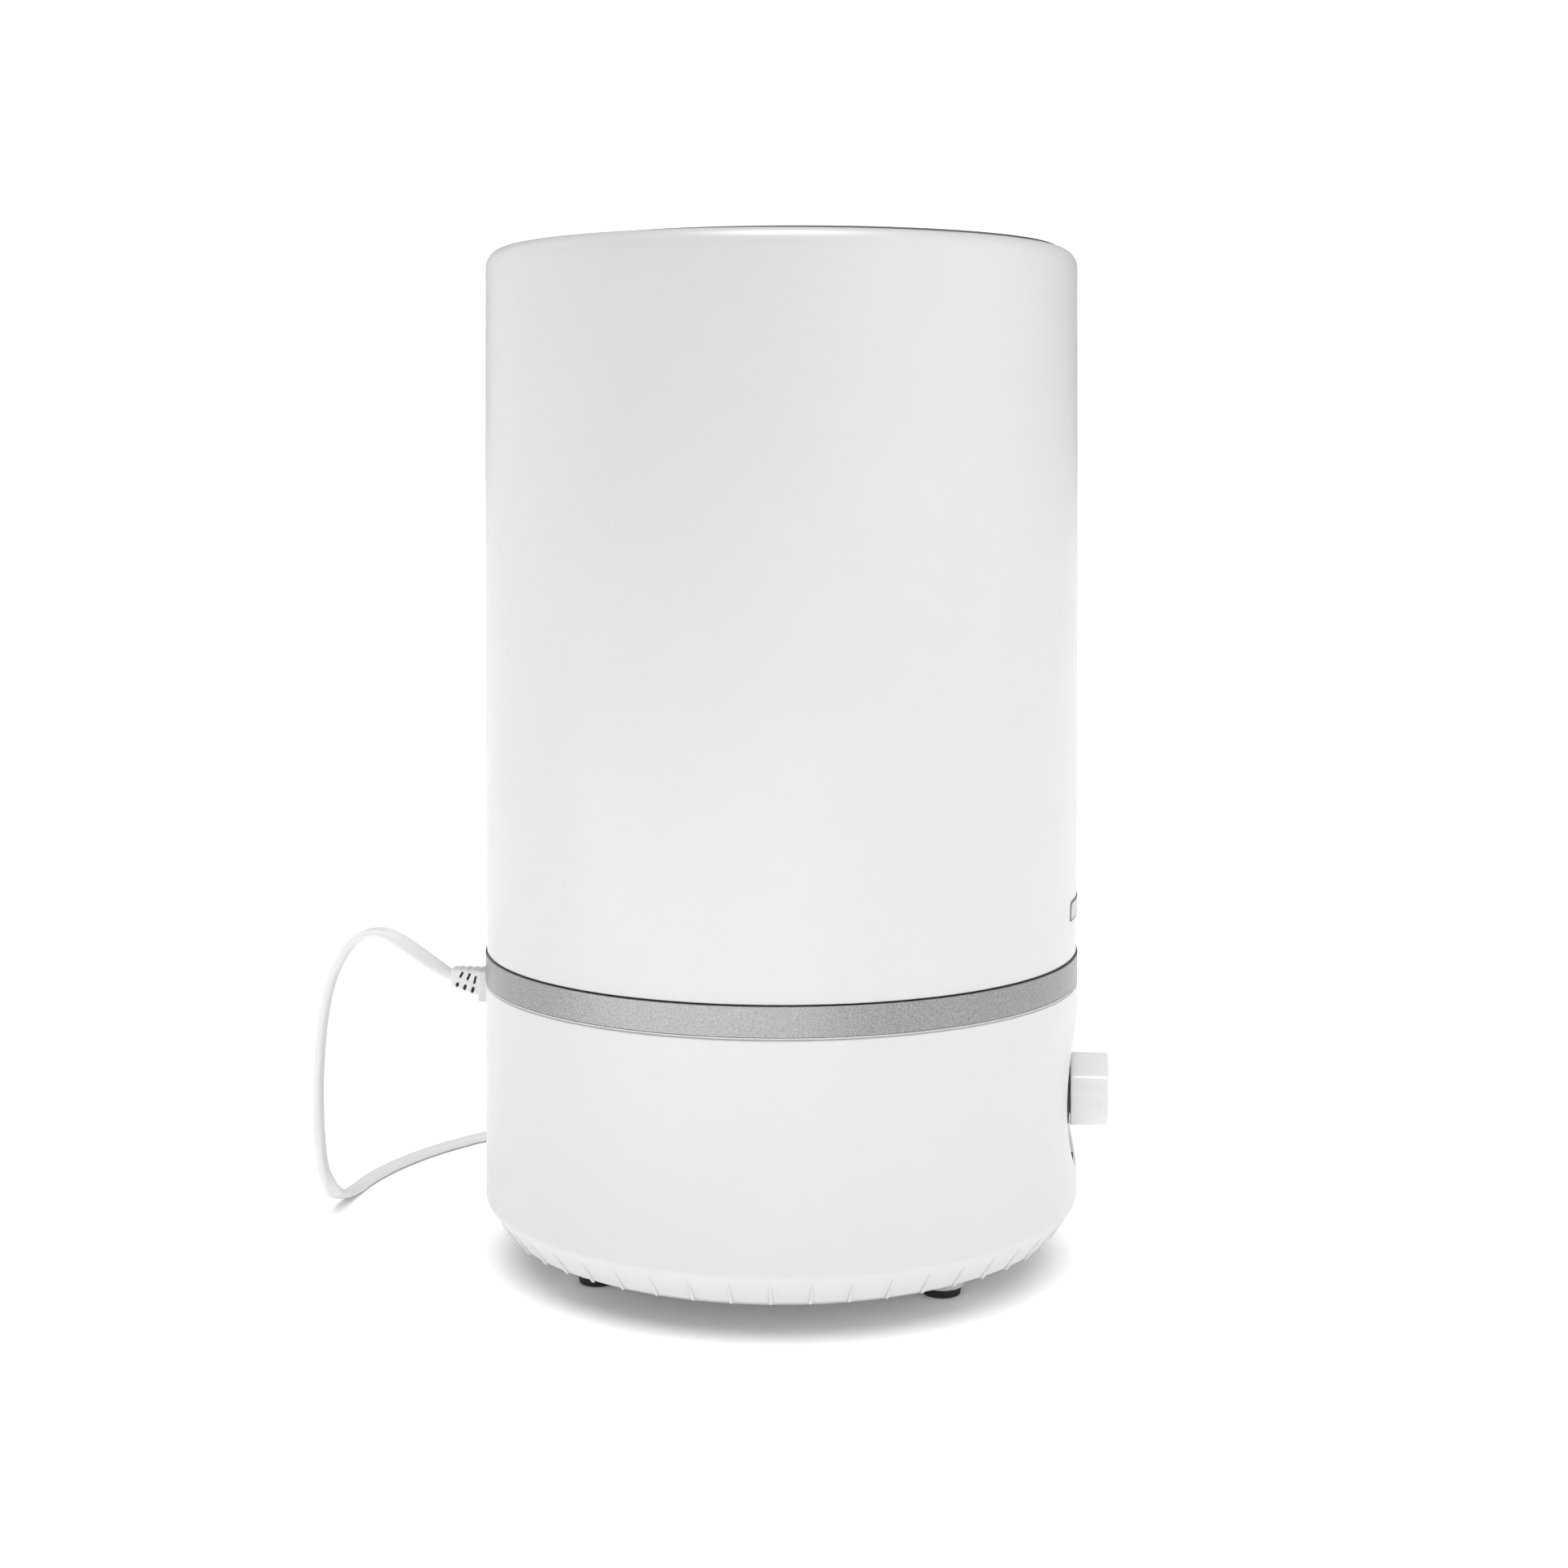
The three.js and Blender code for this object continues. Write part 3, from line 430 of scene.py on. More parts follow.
# column and layer of each turn, in the order in which they are wound
WINDING = [
    (COIL_OUTER, 0), (COIL_INNER, 0), (COIL_INNER, 1), (COIL_OUTER, 1), (COIL_INNER, 2),
    (COIL_OUTER, 2),
]


def coil_route():
    """The coil's turns, each easing over to the next one's place in its last sixth."""
    route = []
    total = COIL_START - COIL_END
    count = round(total / 360 * STEPS_A_TURN)
    for i in range(count + 1):
        turned_by = total * i / count
        turn = min(int(turned_by // 360), len(WINDING) - 1)
        part = turned_by / 360 - turn
        radius, layer = WINDING[turn]
        next_radius, next_layer = WINDING[min(turn + 1, len(WINDING) - 1)]
        ease = max(0.0, min(1.0, (part - EASE_FROM) / (1 - EASE_FROM)))
        ease = ease * ease * (3 - 2 * ease)
        r = radius + (next_radius - radius) * ease
        z = COIL_LAYERS[layer] + (COIL_LAYERS[next_layer] - COIL_LAYERS[layer]) * ease
        a = radians(COIL_START - turned_by)
        route.append((COIL_X + r * cos(a), COIL_Y + r * sin(a), z, 0))
    return route


def smooth_route(points, spacing=1.6):
    """A Catmull-Rom line through the points, sampled at about the given spacing."""
    line = []
    for i in range(len(points) - 1):
        p0 = Vector(points[max(i - 1, 0)])
        p1, p2 = Vector(points[i]), Vector(points[i + 1])
        p3 = Vector(points[min(i + 2, len(points) - 1)])
        steps = max(2, round((p2 - p1).to_3d().length / spacing))
        for k in range(steps):
            t = k / steps
            bend = (2 * p0 - 5 * p1 + 4 * p2 - p3) * t * t
            twist = (3 * p1 - p0 - 3 * p2 + p3) * t * t * t
            line.append(0.5 * (2 * p1 + (p2 - p0) * t + bend + twist))
    line.append(Vector(points[-1]))
    return line


def flat_section(steps=5):
    """The flat cord's section: two round leads with a shallow valley between them."""
    r = CORD_THICK / 2
    reach = CORD_WIDE / 2 - r
    section = []
    for side in (1, -1):
        section += half_circle(side * reach, r, side, steps)
        section.append((0.0, side * (r - CORD_VALLEY)))
    return section


def ribbon(line, section):
    """Sweeps the section along (x, y, z, roll) points, its width kept level except for the roll."""
    points = []
    for i, station in enumerate(line):
        here = station.to_3d()
        ahead = line[min(i + 1, len(line) - 1)].to_3d() - line[max(i - 1, 0)].to_3d()
        ahead.normalize()
        if i == 0:
            wide = Vector((1, 0, 0))
        wide = (wide - ahead * wide.dot(ahead)).normalized()
        level = ahead.cross(Vector((0, 0, 1)))
        if level.length > RUNS_LEVEL:  # here the flat side settles down
            level.normalize()
            level = level if level.dot(wide) > 0 else -level
            wide = (wide * (1 - SETTLING) + level * SETTLING).normalized()
        turn = Matrix.Rotation(radians(station[3]), 3, ahead)
        across, over = turn @ wide, turn @ ahead.cross(wide)
        points += [here + across * u + over * v for u, v in section]
    return points, capped_strips(len(line), len(section))


def make_cord():
    line = smooth_route(RUN + coil_route() + TAIL)
    cord = add_mesh("mains_cord", *ribbon(line, flat_section()), "base", "white_cord")
    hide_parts("cord_run", "cord_coil", "cord_tail")
    return cord, [tuple(p.to_3d() * MM) for p in line]


TIE_INNER, TIE_OUTER = 24.2, 37.2
TIE_LOW, TIE_HIGH = 0.2, 11.6


def tie_outline(inset, fillet):
    """The strap's outline across the bundle, in (distance from the coil's middle, height)."""
    near, far = TIE_INNER + inset, TIE_OUTER - inset
    low, high = TIE_LOW + inset, TIE_HIGH - inset
    return rounded([(near, low, fillet), (far, low, fillet), (far, high, fillet), (near, high, fillet)])


def make_tie():
    """Strap round the coil's bundle, closed with a small buckle."""
    loop, inside = tie_outline(0, 1.6), tie_outline(0.7, 1.2)
    points = []
    for x in (-3, -2.7, 2.7, 3):
        shrink = 0.12 if abs(x) == 3 else 0
        points += [(COIL_X + x, COIL_Y + y + (shrink if y < 30 else -shrink), z) for y, z in loop]
    for x in (3, -3):
        points += [(COIL_X + x, COIL_Y + y, z) for y, z in inside]
    strap = (points, strips(6, len(loop), closed=True))
    place = Matrix.Translation((COIL_X, COIL_Y + (TIE_INNER + TIE_OUTER) / 2, TIE_HIGH + 0.4))
    buckle = soft_box((5.2, 7.5, 1.6), 0.5, place)
    tie = add_mesh("cord_strap", *merged([strap, buckle]), "base", "dark_trim")
    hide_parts("cord_tie")
    return tie


PLUG_PLACE = Matrix.Translation((116.8, 54.6, 6.5)) @ Matrix.Rotation(radians(-15), 4, "Z")
PLUG_SIDES = 40
PLUG_BOW = 0.45  # makes the plug's section a rounded rectangle rather than an ellipse
# (distance along, half width, half thickness) of the plug's sections
PLUG_SECTIONS = (
    (-6.0, 3.4, 2.0), (-3.0, 3.8, 2.6), (0.0, 4.6, 3.4), (4.0, 6.6, 4.8), (8.0, 8.0, 5.9),
    (10.0, 7.5, 5.9), (12.5, 6.9, 5.8), (15.5, 6.9, 5.8), (18.0, 7.6, 5.9), (20.0, 8.2, 6.1),
    (23.2, 8.2, 6.1), (24.0, 7.5, 5.4),
)


def bowed(value):
    return copysign(abs(value) ** PLUG_BOW, value)


def make_plug():
    """Moulded two-blade plug lying flat: rounded body, side grips and a neck."""
    points = []
    for along, wide, thick in PLUG_SECTIONS:
        for a in angles(PLUG_SIDES):
            point = (bowed(cos(a)) * wide, along, bowed(sin(a)) * thick)
            points.append(PLUG_PLACE @ Vector(point))
    faces = capped_strips(len(PLUG_SECTIONS), PLUG_SIDES)
    plug = add_mesh("plug", points, faces, "base", "white_cord")
    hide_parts("plug_body")
    blades = []
    for number, side in ((1, 1), (2, -1)):
        place = PLUG_PLACE @ Matrix.Translation((side * 6.35, 32.0, 0))
        blade = add_mesh(f"blade_{number}", *soft_box((1.5, 16.4, 6.4), 0.45, place), "base", "brass")
        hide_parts(f"plug_blade_{number}")
        blades.append(blade)
    return [plug, *blades]


GLAND_NEAR, GLAND_FAR = 101.6, 111.8
GLAND_HALF, GLAND_CORNER = 4.2, 1.1
GLAND_ROWS = 41
NOSE_FROM = 0.93  # share of the sleeve's length after which its tip rounds off
# (distance from the axis, height, length, lean in degrees) of each slot in the sleeve's flanks
GLAND_SLOTS = (
    (103.2, 88.6, 2.9, 14),
    (105.4, 89.6, 2.7, 24),
    (107.9, 90.2, 2.3, 30),
)
GLAND_WINDOWS = (
    (104.0, 85.2, 2.3, 20),
    (106.7, 86.0, 2.1, 22),
    (109.3, 86.9, 1.8, 24),
)


def gland_side(y):
    """Bottom and top of the ridged sleeve at a distance from the axis."""
    t = (y - GLAND_NEAR) / (GLAND_FAR - GLAND_NEAR)
    dip = 0.3 * (0.5 - 0.5 * cos(2 * pi * (t * 4 + 0.1)))
    return 82.7 + 3.3 * t + dip, 91.9 + 0.2 * t - dip


def sleeve():
    """The strain relief's ridged sleeve, a run of rounded rectangles that narrows to its tip."""
    section = []
    for u, v in four_corners(1, 1):
        turn = atan2(v, u) - pi / 4
        section += [(u, v, turn + pi / 2 * k / 4) for k in range(5)]
    points = []
    for i in range(GLAND_ROWS):
        t = i / (GLAND_ROWS - 1)
        y = GLAND_NEAR + t * (GLAND_FAR - GLAND_NEAR)
        low, high = gland_side(y)
        end = max(0.0, (t - NOSE_FROM) / (1 - NOSE_FROM))
        tall = (high - low) / 2 - 0.9 * end * end - GLAND_CORNER
        wide = GLAND_HALF - 0.4 * t - 0.9 * end * end - GLAND_CORNER
        for u, v, a in section:
            x = u * wide + GLAND_CORNER * cos(a)
            z = (high + low) / 2 + v * tall + GLAND_CORNER * sin(a)
            points.append((x, y, z))
    return points, capped_strips(GLAND_ROWS, len(section))


def tilted(y, z, degrees):
    """A place in the middle plane at the back, turned about X."""
    return Matrix.Translation((0, y, z)) @ Matrix.Rotation(radians(degrees), 4, "X")


def make_gland():
    """Strain relief: a flange on the wall and a slotted sleeve that rises towards its tip, with a dark
    box inside the sleeve as painted shade in the slots.
    """
    gland = add_mesh("strain_relief", *sleeve(), "base", "white_cord")
    cutters = []
    for slots, width in ((GLAND_SLOTS, 0.85), (GLAND_WINDOWS, 1.1)):
        for y, z, length, lean in slots:
            cutters.append(soft_box((12, width, length), width * 0.45, tilted(y, z, lean)))
    cut(gland, cutters)
    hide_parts("cord_gland")
    flange = soft_box((10.4, 3.9, 10.5), 0.6, Matrix.Translation((0, 100.1, 86.5)))
    add_mesh("relief_flange", *flange, "base", "white_cord")
    # A dark box inside the sleeve, seen through the slots: painted shade that makes them look deep.
    core = soft_box((4.6, 9.0, 5.2), 0.6, tilted(105.6, 87.6, 9))
    add_mesh("relief_core_painted_shade", *core, "base", "dark_trim")


def make_cord_and_fittings():
    cord, path = make_cord()
    tie = make_tie()
    plug = make_plug()
    make_gland()


make_cord_and_fittings()


# ---------------- base
DISH_R = 25.0
DISH_FLOOR_R = 15.0
DISH_FLOOR_Y = 91.5
PATCH_HALF = 38.0
PATCH_LOW, PATCH_HIGH = 25.0, 87.0
PATCH_COLUMNS, PATCH_ROWS, PLAIN_COLUMNS = 28, 22, 150
DISH_RINGS = (2.5, 5, 7.5, 10, 12.5, *range(14, 24), 23.9, 24.4, 24.8, 25.2, 25.7, 26.4, 28, 31)
RIM_SOFTNESS = 0.7
DISH_BACK = 89.1  # inside of the wall behind the dish's floor
DISH_STEP = 9.0  # width over which the wall's inside steps back


def wall_y(x):
    return sqrt(BODY_R * BODY_R - x * x)


def dish_y(rho, x):
    """How far forwards the dish's surface is at rho from its middle, easing out to the wall."""
    slope = max(0.0, (rho - DISH_FLOOR_R) / (DISH_R - DISH_FLOOR_R))
    rim = wall_y(x * DISH_R / rho)
    scoop = DISH_FLOOR_Y + (rim - DISH_FLOOR_Y) * slope**1.5
    outside = wall_y(x)
    gap = outside - scoop
    return outside - (gap + hypot(gap, RIM_SOFTNESS)) / 2 + RIM_SOFTNESS * 0.12


def inner_radius(a):
    """Radius of the wall's inside at an angle from the front, stepping back behind the dish."""
    plain = BODY_R - WALL
    if cos(a) < 0:
        return plain
    step = max(0.0, min(1.0, (PATCH_HALF - abs(BODY_R * sin(a))) / DISH_STEP))
    return plain - (plain - DISH_BACK) * step * step * (3 - 2 * step)


def wall_angles():
    """Angles of the wall's columns from the front, closer together across the patch."""
    half_turn = asin(PATCH_HALF / BODY_R)
    across = [PATCH_HALF * (2 * j / PATCH_COLUMNS - 1) for j in range(PATCH_COLUMNS + 1)]
    rest = 2 * pi - 2 * half_turn
    around = [half_turn + rest * k / PLAIN_COLUMNS for k in range(1, PLAIN_COLUMNS)]
    return [asin(x / BODY_R) for x in across] + around


def wall_outline():
    """The wall's outline from its inner foot up the outside to its inner top."""
    inner = BODY_R - WALL
    step = (PATCH_HIGH - PATCH_LOW) / PATCH_ROWS
    below = [(inner, BASE_LOW), (BODY_R, BASE_LOW)]
    rows = [(BODY_R, PATCH_LOW + step * i) for i in range(PATCH_ROWS + 1)]
    top = rounded([(BODY_R, PATCH_HIGH, 0), (BODY_R, BASE_TOP, 0.7), (inner, BASE_TOP, 0)], 6)
    return below + rows + top[1:]


def patch_border(low, count):
    """Points round the patch, which starts at row low of rows of count points."""
    high = low + PATCH_ROWS
    border = [low * count + k for k in range(PATCH_COLUMNS)]
    border += [i * count + PATCH_COLUMNS for i in range(low, high)]
    border += [high * count + k for k in range(PATCH_COLUMNS, 0, -1)]
    border += [i * count for i in range(high, low, -1)]
    return border


def make_base_wall():
    """Upright wall with the round dish: a lathe whose front is a patch of rings about the dish."""
    columns, outline = wall_angles(), wall_outline()
    points = []
    for r, z in outline:
        for a in columns:
            reach = inner_radius(a) if r == BODY_R - WALL else r
            points.append((reach * sin(a), -reach * cos(a), z))
    count = len(columns)
    low = 2  # the outline's first row on the patch
    faces = []
    for number, face in enumerate(strips(len(outline), count, closed=True)):
        row, column = divmod(number, count)
        if not (low <= row < low + PATCH_ROWS and column < PATCH_COLUMNS):
            faces.append(face)
    border = patch_border(low, count)
    outer = border
    for t in (0.35, 0.7):
        outer = add_ring(points, faces, outer, [blend_to_circle(points[b], t) for b in border])
    for rho in reversed(DISH_RINGS):
        outer = add_ring(points, faces, outer, [on_dish(points[b], rho) for b in border])
    points.append((0, -DISH_FLOOR_Y, KNOB_Z))
    faces += fan(outer, len(points) - 1)
    wall = add_mesh("base_wall", points, faces, "base", "white_shell")
    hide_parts("base_housing")


def fan(ring, middle):
    """Triangles from a ring of points to one in its middle."""
    return [[here, after, middle] for here, after in zip(ring, ring[1:] + ring[:1])]


def add_ring(points, faces, outer, ring):
    """Adds a ring of points inside the outer one and joins them with quads."""
    first = len(points)
    points += ring
    count = len(ring)
    inner = list(range(first, first + count))
    for k in range(count):
        n = (k + 1) % count
        faces.append([outer[k], outer[n], inner[n], inner[k]])
    return inner


def direction(point):
    """Direction from the dish's middle to a point, in X and Z."""
    x, z = point[0], point[2] - KNOB_Z
    length = hypot(x, z)
    return x / length, z / length


def blend_to_circle(point, t):
    """A point part of the way from the patch's border to the outermost ring."""
    dx, dz = direction(point)
    rho = DISH_RINGS[-1]
    x = point[0] * (1 - t) + dx * rho * t
    z = point[2] * (1 - t) + (KNOB_Z + dz * rho) * t
    return (x, -wall_y(x), z)


def on_dish(point, rho):
    """The point of the dish at rho from its middle, towards the given one."""
    dx, dz = direction(point)
    x = dx * rho
    return (x, -dish_y(rho, x), KNOB_Z + dz * rho)


def make_band():
    """Silver band with its lower edge eased and given a paler silver as a painted highlight, and the
    plain collar inside it that centres the tank.
    """
    edge = BAND_LOW + 0.7
    outline = [(94.9, edge, 0), (98.05, edge, 0.05), (98.05, BAND_TOP, 0.15), (94.9, BAND_TOP, 0.1)]
    rim = [(94.9, BAND_LOW, 0), (97.9, BAND_LOW, 0.1), (98.1, edge - 0.1, 0.1), (94.9, edge, 0)]
    # The eased lower edge is painted a paler silver than the band: a painted highlight.
    turned("band_edge_painted_highlight", rim, "base", "silver_trim", sides=240, material=PALE_SILVER_AND_EDGE_HIGHLIGHT)
    band = turned("silver_band", outline, "base", "silver_trim", sides=240)
    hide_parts("accent_band")
    collar = [(92.4, 95.8, 0), (94.7, 95.8, 0), (94.7, 100.8, 0.5), (92.4, 100.8, 0.5)]
    turned("deck_collar", collar, "base", "inner_plastic")


FAN_X, FAN_Y = 60.0, -8.0
VENT_PITCH = 6
POST_AT = 56.6
FOOT_X, FOOT_Y = 41.0, 55.0
RIBS = 48


def slot_shape(x, y, length, width, z0, z1, steps=8):
    """A long slot with round ends, along X."""
    outline = []
    for side in (1, -1):
        outline += half_circle(side * (length - width) / 2, width / 2, side, steps)
    return prism([(x + u, y + v) for u, v in outline], z0, z1)


def prism(outline, z0, z1):
    """An (x, y) outline drawn up from one height to another."""
    points = [(x, y, z) for z in (z0, z1) for x, y in outline]
    return points, capped_strips(2, len(outline))


def make_cover():
    """Bottom cover: rounded chamfer, vents under the fan and a well round each screw."""
    corners = [
        (0, 9.4, 0), (85.8, 9.4, 1.5), (90.6, 11.6, 1.2), (BODY_R, 21.2, 4.0),
        (BODY_R, BASE_LOW, 0), (95.1, BASE_LOW, 0), (93.0, 20.2, 0.4), (88.0, 13.8, 1.0),
        (85.0, 11.3, 1.0), (0, 11.3, 0),
    ]
    cover = turned("bottom_shell", corners, "base", "white_shell", sides=240)
    cutters = [slot_shape(FAN_X, FAN_Y + i * VENT_PITCH, 31, 3.4, 5, 15) for i in range(-2, 3)]
    for x, y in four_corners(POST_AT, POST_AT):
        cutters.append(lathe([(0, 5), (4.3, 5), (4.3, 15), (0, 15)], SMALL, x, y))
    cut(cover, cutters)
    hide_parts("bottom_cover")


def taper(path, radii, sides=12):
    """A round spike along a line of points, closed at both ends."""
    points = []
    ahead = (Vector(path[-1]) - Vector(path[0])).normalized()
    across = ahead.cross(Vector((0, 0, 1))).normalized()
    over = ahead.cross(across)
    for centre, r in zip(path, radii):
        for a in angles(sides):
            points.append(Vector(centre) + across * r * cos(a) + over * r * sin(a))
    return points, capped_strips(len(path), sides)


def make_ribs():
    """Fine ribs on the chamfer. Each grows out of it downwards and ends in a small round nose."""
    stations = [
        (96.4, 19.3, 0.12), (95.0, 17.4, 0.38), (93.4, 15.2, 0.54), (91.9, 13.2, 0.64),
        (91.2, 12.2, 0.68), (90.8, 11.6, 0.60), (90.4, 11.1, 0.30),
    ]
    shapes = []
    for i in range(RIBS):
        a = 2 * pi * (i + 0.5) / RIBS
        path = [(r * cos(a), r * sin(a), z) for r, z, _ in stations]
        shapes.append(taper(path, [size for _, _, size in stations]))
    add_mesh("chamfer_ribs", *merged(shapes), "base", "white_shell")


def make_feet():
    """A round boss on the cover at each corner, with a rubber pad in it."""
    boss = [(0, 2.7, 0), (6.7, 2.7, 0.5), (7.6, 4.4, 2.5), (9.4, 9.3, 0), (0, 9.3, 0)]
    pad = [
        (0, 0.35, 0), (3.6, 0.35, 0.2), (3.9, 0.02, 0.2), (5.9, 0.02, 0.5), (6.25, 2.6, 0.3), (0, 2.6, 0),
    ]
    for number, (x, y) in enumerate(four_corners(FOOT_X, FOOT_Y), 1):
        turned(f"foot_boss_{number}", boss, "base", "white_shell", SMALL, x, y)
        foot = turned(f"rubber_foot_{number}", pad, "base", "black_rubber", SMALL, x, y)
        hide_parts(f"foot_pad_{number}")


POOL_R = 30.0
VALVE_Y = 48.0


def stadium(r, z, steps=24):
    """A ring of points round the pool's two round ends."""
    ring = []
    for k in range(steps + 1):
        a = pi * k / steps
        ring.append((r * cos(a), VALVE_Y + r * sin(a), z))
    for k in range(steps + 1):
        a = pi * (1 + k / steps)
        ring.append((r * cos(a), r * sin(a), z))
    return ring


def make_basin():
    """Wet deck with the pool, the push pin, the float's post and the duct's hole."""
    corners = [(0, 93.0, 0), (94.6, 93.0, 0), (94.6, DECK_TOP, 0), (0, DECK_TOP, 0)]
    basin = turned("wet_deck", corners, "base", "inner_plastic")
    pool_hole = prism([(x, y) for x, y, _ in stadium(POOL_R + 0.8, 90)], 90, 99)
    duct_hole = soft_box((28.8, 28.8, 12), 1.5, Matrix.Translation((FAN_X, FAN_Y, 96)))
    cut(basin, [pool_hole, duct_hole])
    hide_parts("water_basin")
    make_pool()


def make_pool():
    """The pool under the tank's valve and the mist maker, with the push pin and the float's post."""
    levels = [
        (POOL_R + WALL, 92.9), (POOL_R + WALL, 49.5), (POOL_R + 1.0, 47.5), (10.0, 47.5),
        (9.4, 48.1), (9.4, 49.4), (10.0, 50.0), (POOL_R - 1.5, 50.0), (POOL_R - 0.4, 50.5),
        (POOL_R, 51.6), (POOL_R, 94.4), (POOL_R + 0.4, 95.2), (POOL_R + 1.0, 95.6),
        (POOL_R + 1.4, 95.2), (POOL_R + 1.4, 92.9),
    ]
    points = []
    for r, z in levels:
        if r > 15:
            points += stadium(r, z)
        else:  # the small round hole over the disc shares the ring's order of points
            points += [round_hole_point(p, r, z) for p in stadium(POOL_R, z)]
    shapes = [(points, strips(len(levels), len(points) // len(levels), closed=True))]
    for r, top, fillet, x, y in ((3, 82, 0.6, 0, VALVE_Y), (2.3, 70.4, 0.5, 17, 27)):
        pin = rounded([(0, 49, 0), (r, 49, 0), (r, top, fillet), (0, top, 0)])
        shapes.append(lathe(pin, SMALL, x, y))
    add_mesh("pool", *merged(shapes), "base", "inner_plastic")


def round_hole_point(point, r, z):
    """The point at radius r in the same direction as the given one."""
    away = hypot(point[0], point[1])
    return (point[0] / away * r, point[1] / away * r, z)


make_base_wall()
make_band()
make_cover()
make_ribs()
make_feet()
make_basin()


# ---------------- control
KNOB_R, KNOB_FRONT, KNOB_BACK = 11.9, 108.25, 95.7
KNOB_FLAT = 9.7  # distance of each flat from the axis
KNOB_TURN = 67.5  # degrees, at rest
KNOB_EDGE = 0.7
KNOB_CORNER = 0.35
KNOB_SAMPLES = 160


def knob_section():
    """A circle cut by two flats, with slightly eased corners, starting in the middle of a flat."""
    section = []
    for a in angles(KNOB_SAMPLES):
        flat = KNOB_FLAT / max(abs(cos(a)), 1e-6)
        radius = (flat + KNOB_R - hypot(flat - KNOB_R, KNOB_CORNER)) / 2
        section.append((radius * cos(a), radius * sin(a)))
    return section


def knob_levels():
    """(height, inset) of the knob's rows, from its back round its front edge to its dished face."""
    levels = [(KNOB_BACK, 0.5), (KNOB_BACK + 0.15, 0.12), (KNOB_BACK + 0.5, 0.0)]
    levels += [(KNOB_BACK + 4, 0.0), (KNOB_BACK + 8, 0.03)]
    for k in range(7):
        a = pi / 2 * k / 6
        levels.append((KNOB_FRONT - KNOB_EDGE * (1 - sin(a)), KNOB_EDGE * (1 - cos(a)) + 0.05))
    return levels + [(KNOB_FRONT, 1.6), (KNOB_FRONT - 0.12, 3.0), (KNOB_FRONT - 0.3, 6.0)]


def make_knob():
    """Round knob with two flats, a rounded front edge, a neck behind it and a dark pointer."""
    turn = Matrix.Rotation(pi - radians(KNOB_TURN), 3, "Z")
    levels = knob_levels()
    points = []
    for height, inset in levels:
        for u, v in knob_section():
            away = hypot(u, v)
            p = Vector((u, v, 0)) * (away - inset) / away
            points.append(turn @ Vector((p.x, p.y, height)))
    faces = strips(len(levels), KNOB_SAMPLES)
    first = list(range(KNOB_SAMPLES))
    last = [(len(levels) - 1) * KNOB_SAMPLES + k for k in first]
    points += [Vector((0, 0, KNOB_FRONT - 0.4)), Vector((0, 0, KNOB_BACK))]
    faces += fan(last, len(points) - 2) + fan(first, len(points) - 1)
    neck = rounded([(0, 94.0, 0), (8, 94.0, 0.3), (8, 97.3, 0), (0, 97.3, 0)])
    whole = merged([(points, faces), lathe(neck, MEDIUM)])
    knob = add_mesh("control_knob", *facing_front(whole), "control", "white_shell", KNOB)
    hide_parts("knob")
    place = turn.to_4x4() @ Matrix.Translation((7.0, 0, KNOB_FRONT - 0.22))
    pointer = soft_box((4.6, 0.9, 0.5), 0.2, place)
    add_mesh("knob_pointer", *facing_front(pointer), "control", "dark_trim")


TICKS = 11
TICKS_FROM, TICKS_SWEEP = -50, 280  # degrees
TICK_R = 14.3
DIAL_BACK, DIAL_FRONT = 91.45, 93.6
LENS_DROP = 23  # below the knob
COLLAR_FRONT = KNOB_BACK - 0.3


def make_dial():
    """Dark ring with a collar under the knob, and a pale tick at each step of the knob's travel."""
    ring = rounded([
        (8.6, DIAL_BACK, 0), (16.4, DIAL_BACK, 0), (16.1, DIAL_FRONT, 0.3), (11.6, DIAL_FRONT, 0.2),
        (11.3, COLLAR_FRONT, 0.2), (8.6, COLLAR_FRONT, 0.2),
    ])
    dial = add_mesh("dial", *facing_front(lathe(ring, 96)), "base", "dark_trim")
    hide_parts("dial_ring")
    ticks = []
    for k in range(TICKS):
        t = k / (TICKS - 1)
        turn = Matrix.Rotation(radians(TICKS_FROM + TICKS_SWEEP * t), 4, "Z")
        place = turn @ Matrix.Translation((TICK_R, 0, DIAL_FRONT))
        ticks.append(soft_box((1.1 + 1.2 * t, 0.7, 0.3), 0.1, place))
    add_mesh("dial_ticks", *facing_front(merged(ticks)), "base", "white_shell")


def make_lens():
    """Smoked window of the indicator lamp, low on the dish."""
    glass = rounded([(0, 91.0, 0), (1.7, 91.0, 0), (1.7, 96.8, 0.5), (0, 97.0, 0)])
    shape = facing_front(lathe(glass, SMALL), KNOB_Z - LENS_DROP)
    lens = add_mesh("lamp_window", *shape, "base", "dark_lens")
    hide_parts("indicator_lens")


make_knob()
make_dial()
make_lens()


# ---------------- tank
# (radius, height) up the slightly barrelled wall
TANK_WALL = [(97.6, 108), (97.7, 125), (97.8, 160), (97.8, 200), (97.7, 240), (97.5, 280), (97.35, 310)]


def arc(cx, cz, r, start, end, steps):
    """Points along an arc between two angles in degrees."""
    turns = [radians(start + (end - start) * k / steps) for k in range(steps + 1)]
    return [(cx + r * cos(a), cz + r * sin(a)) for a in turns]


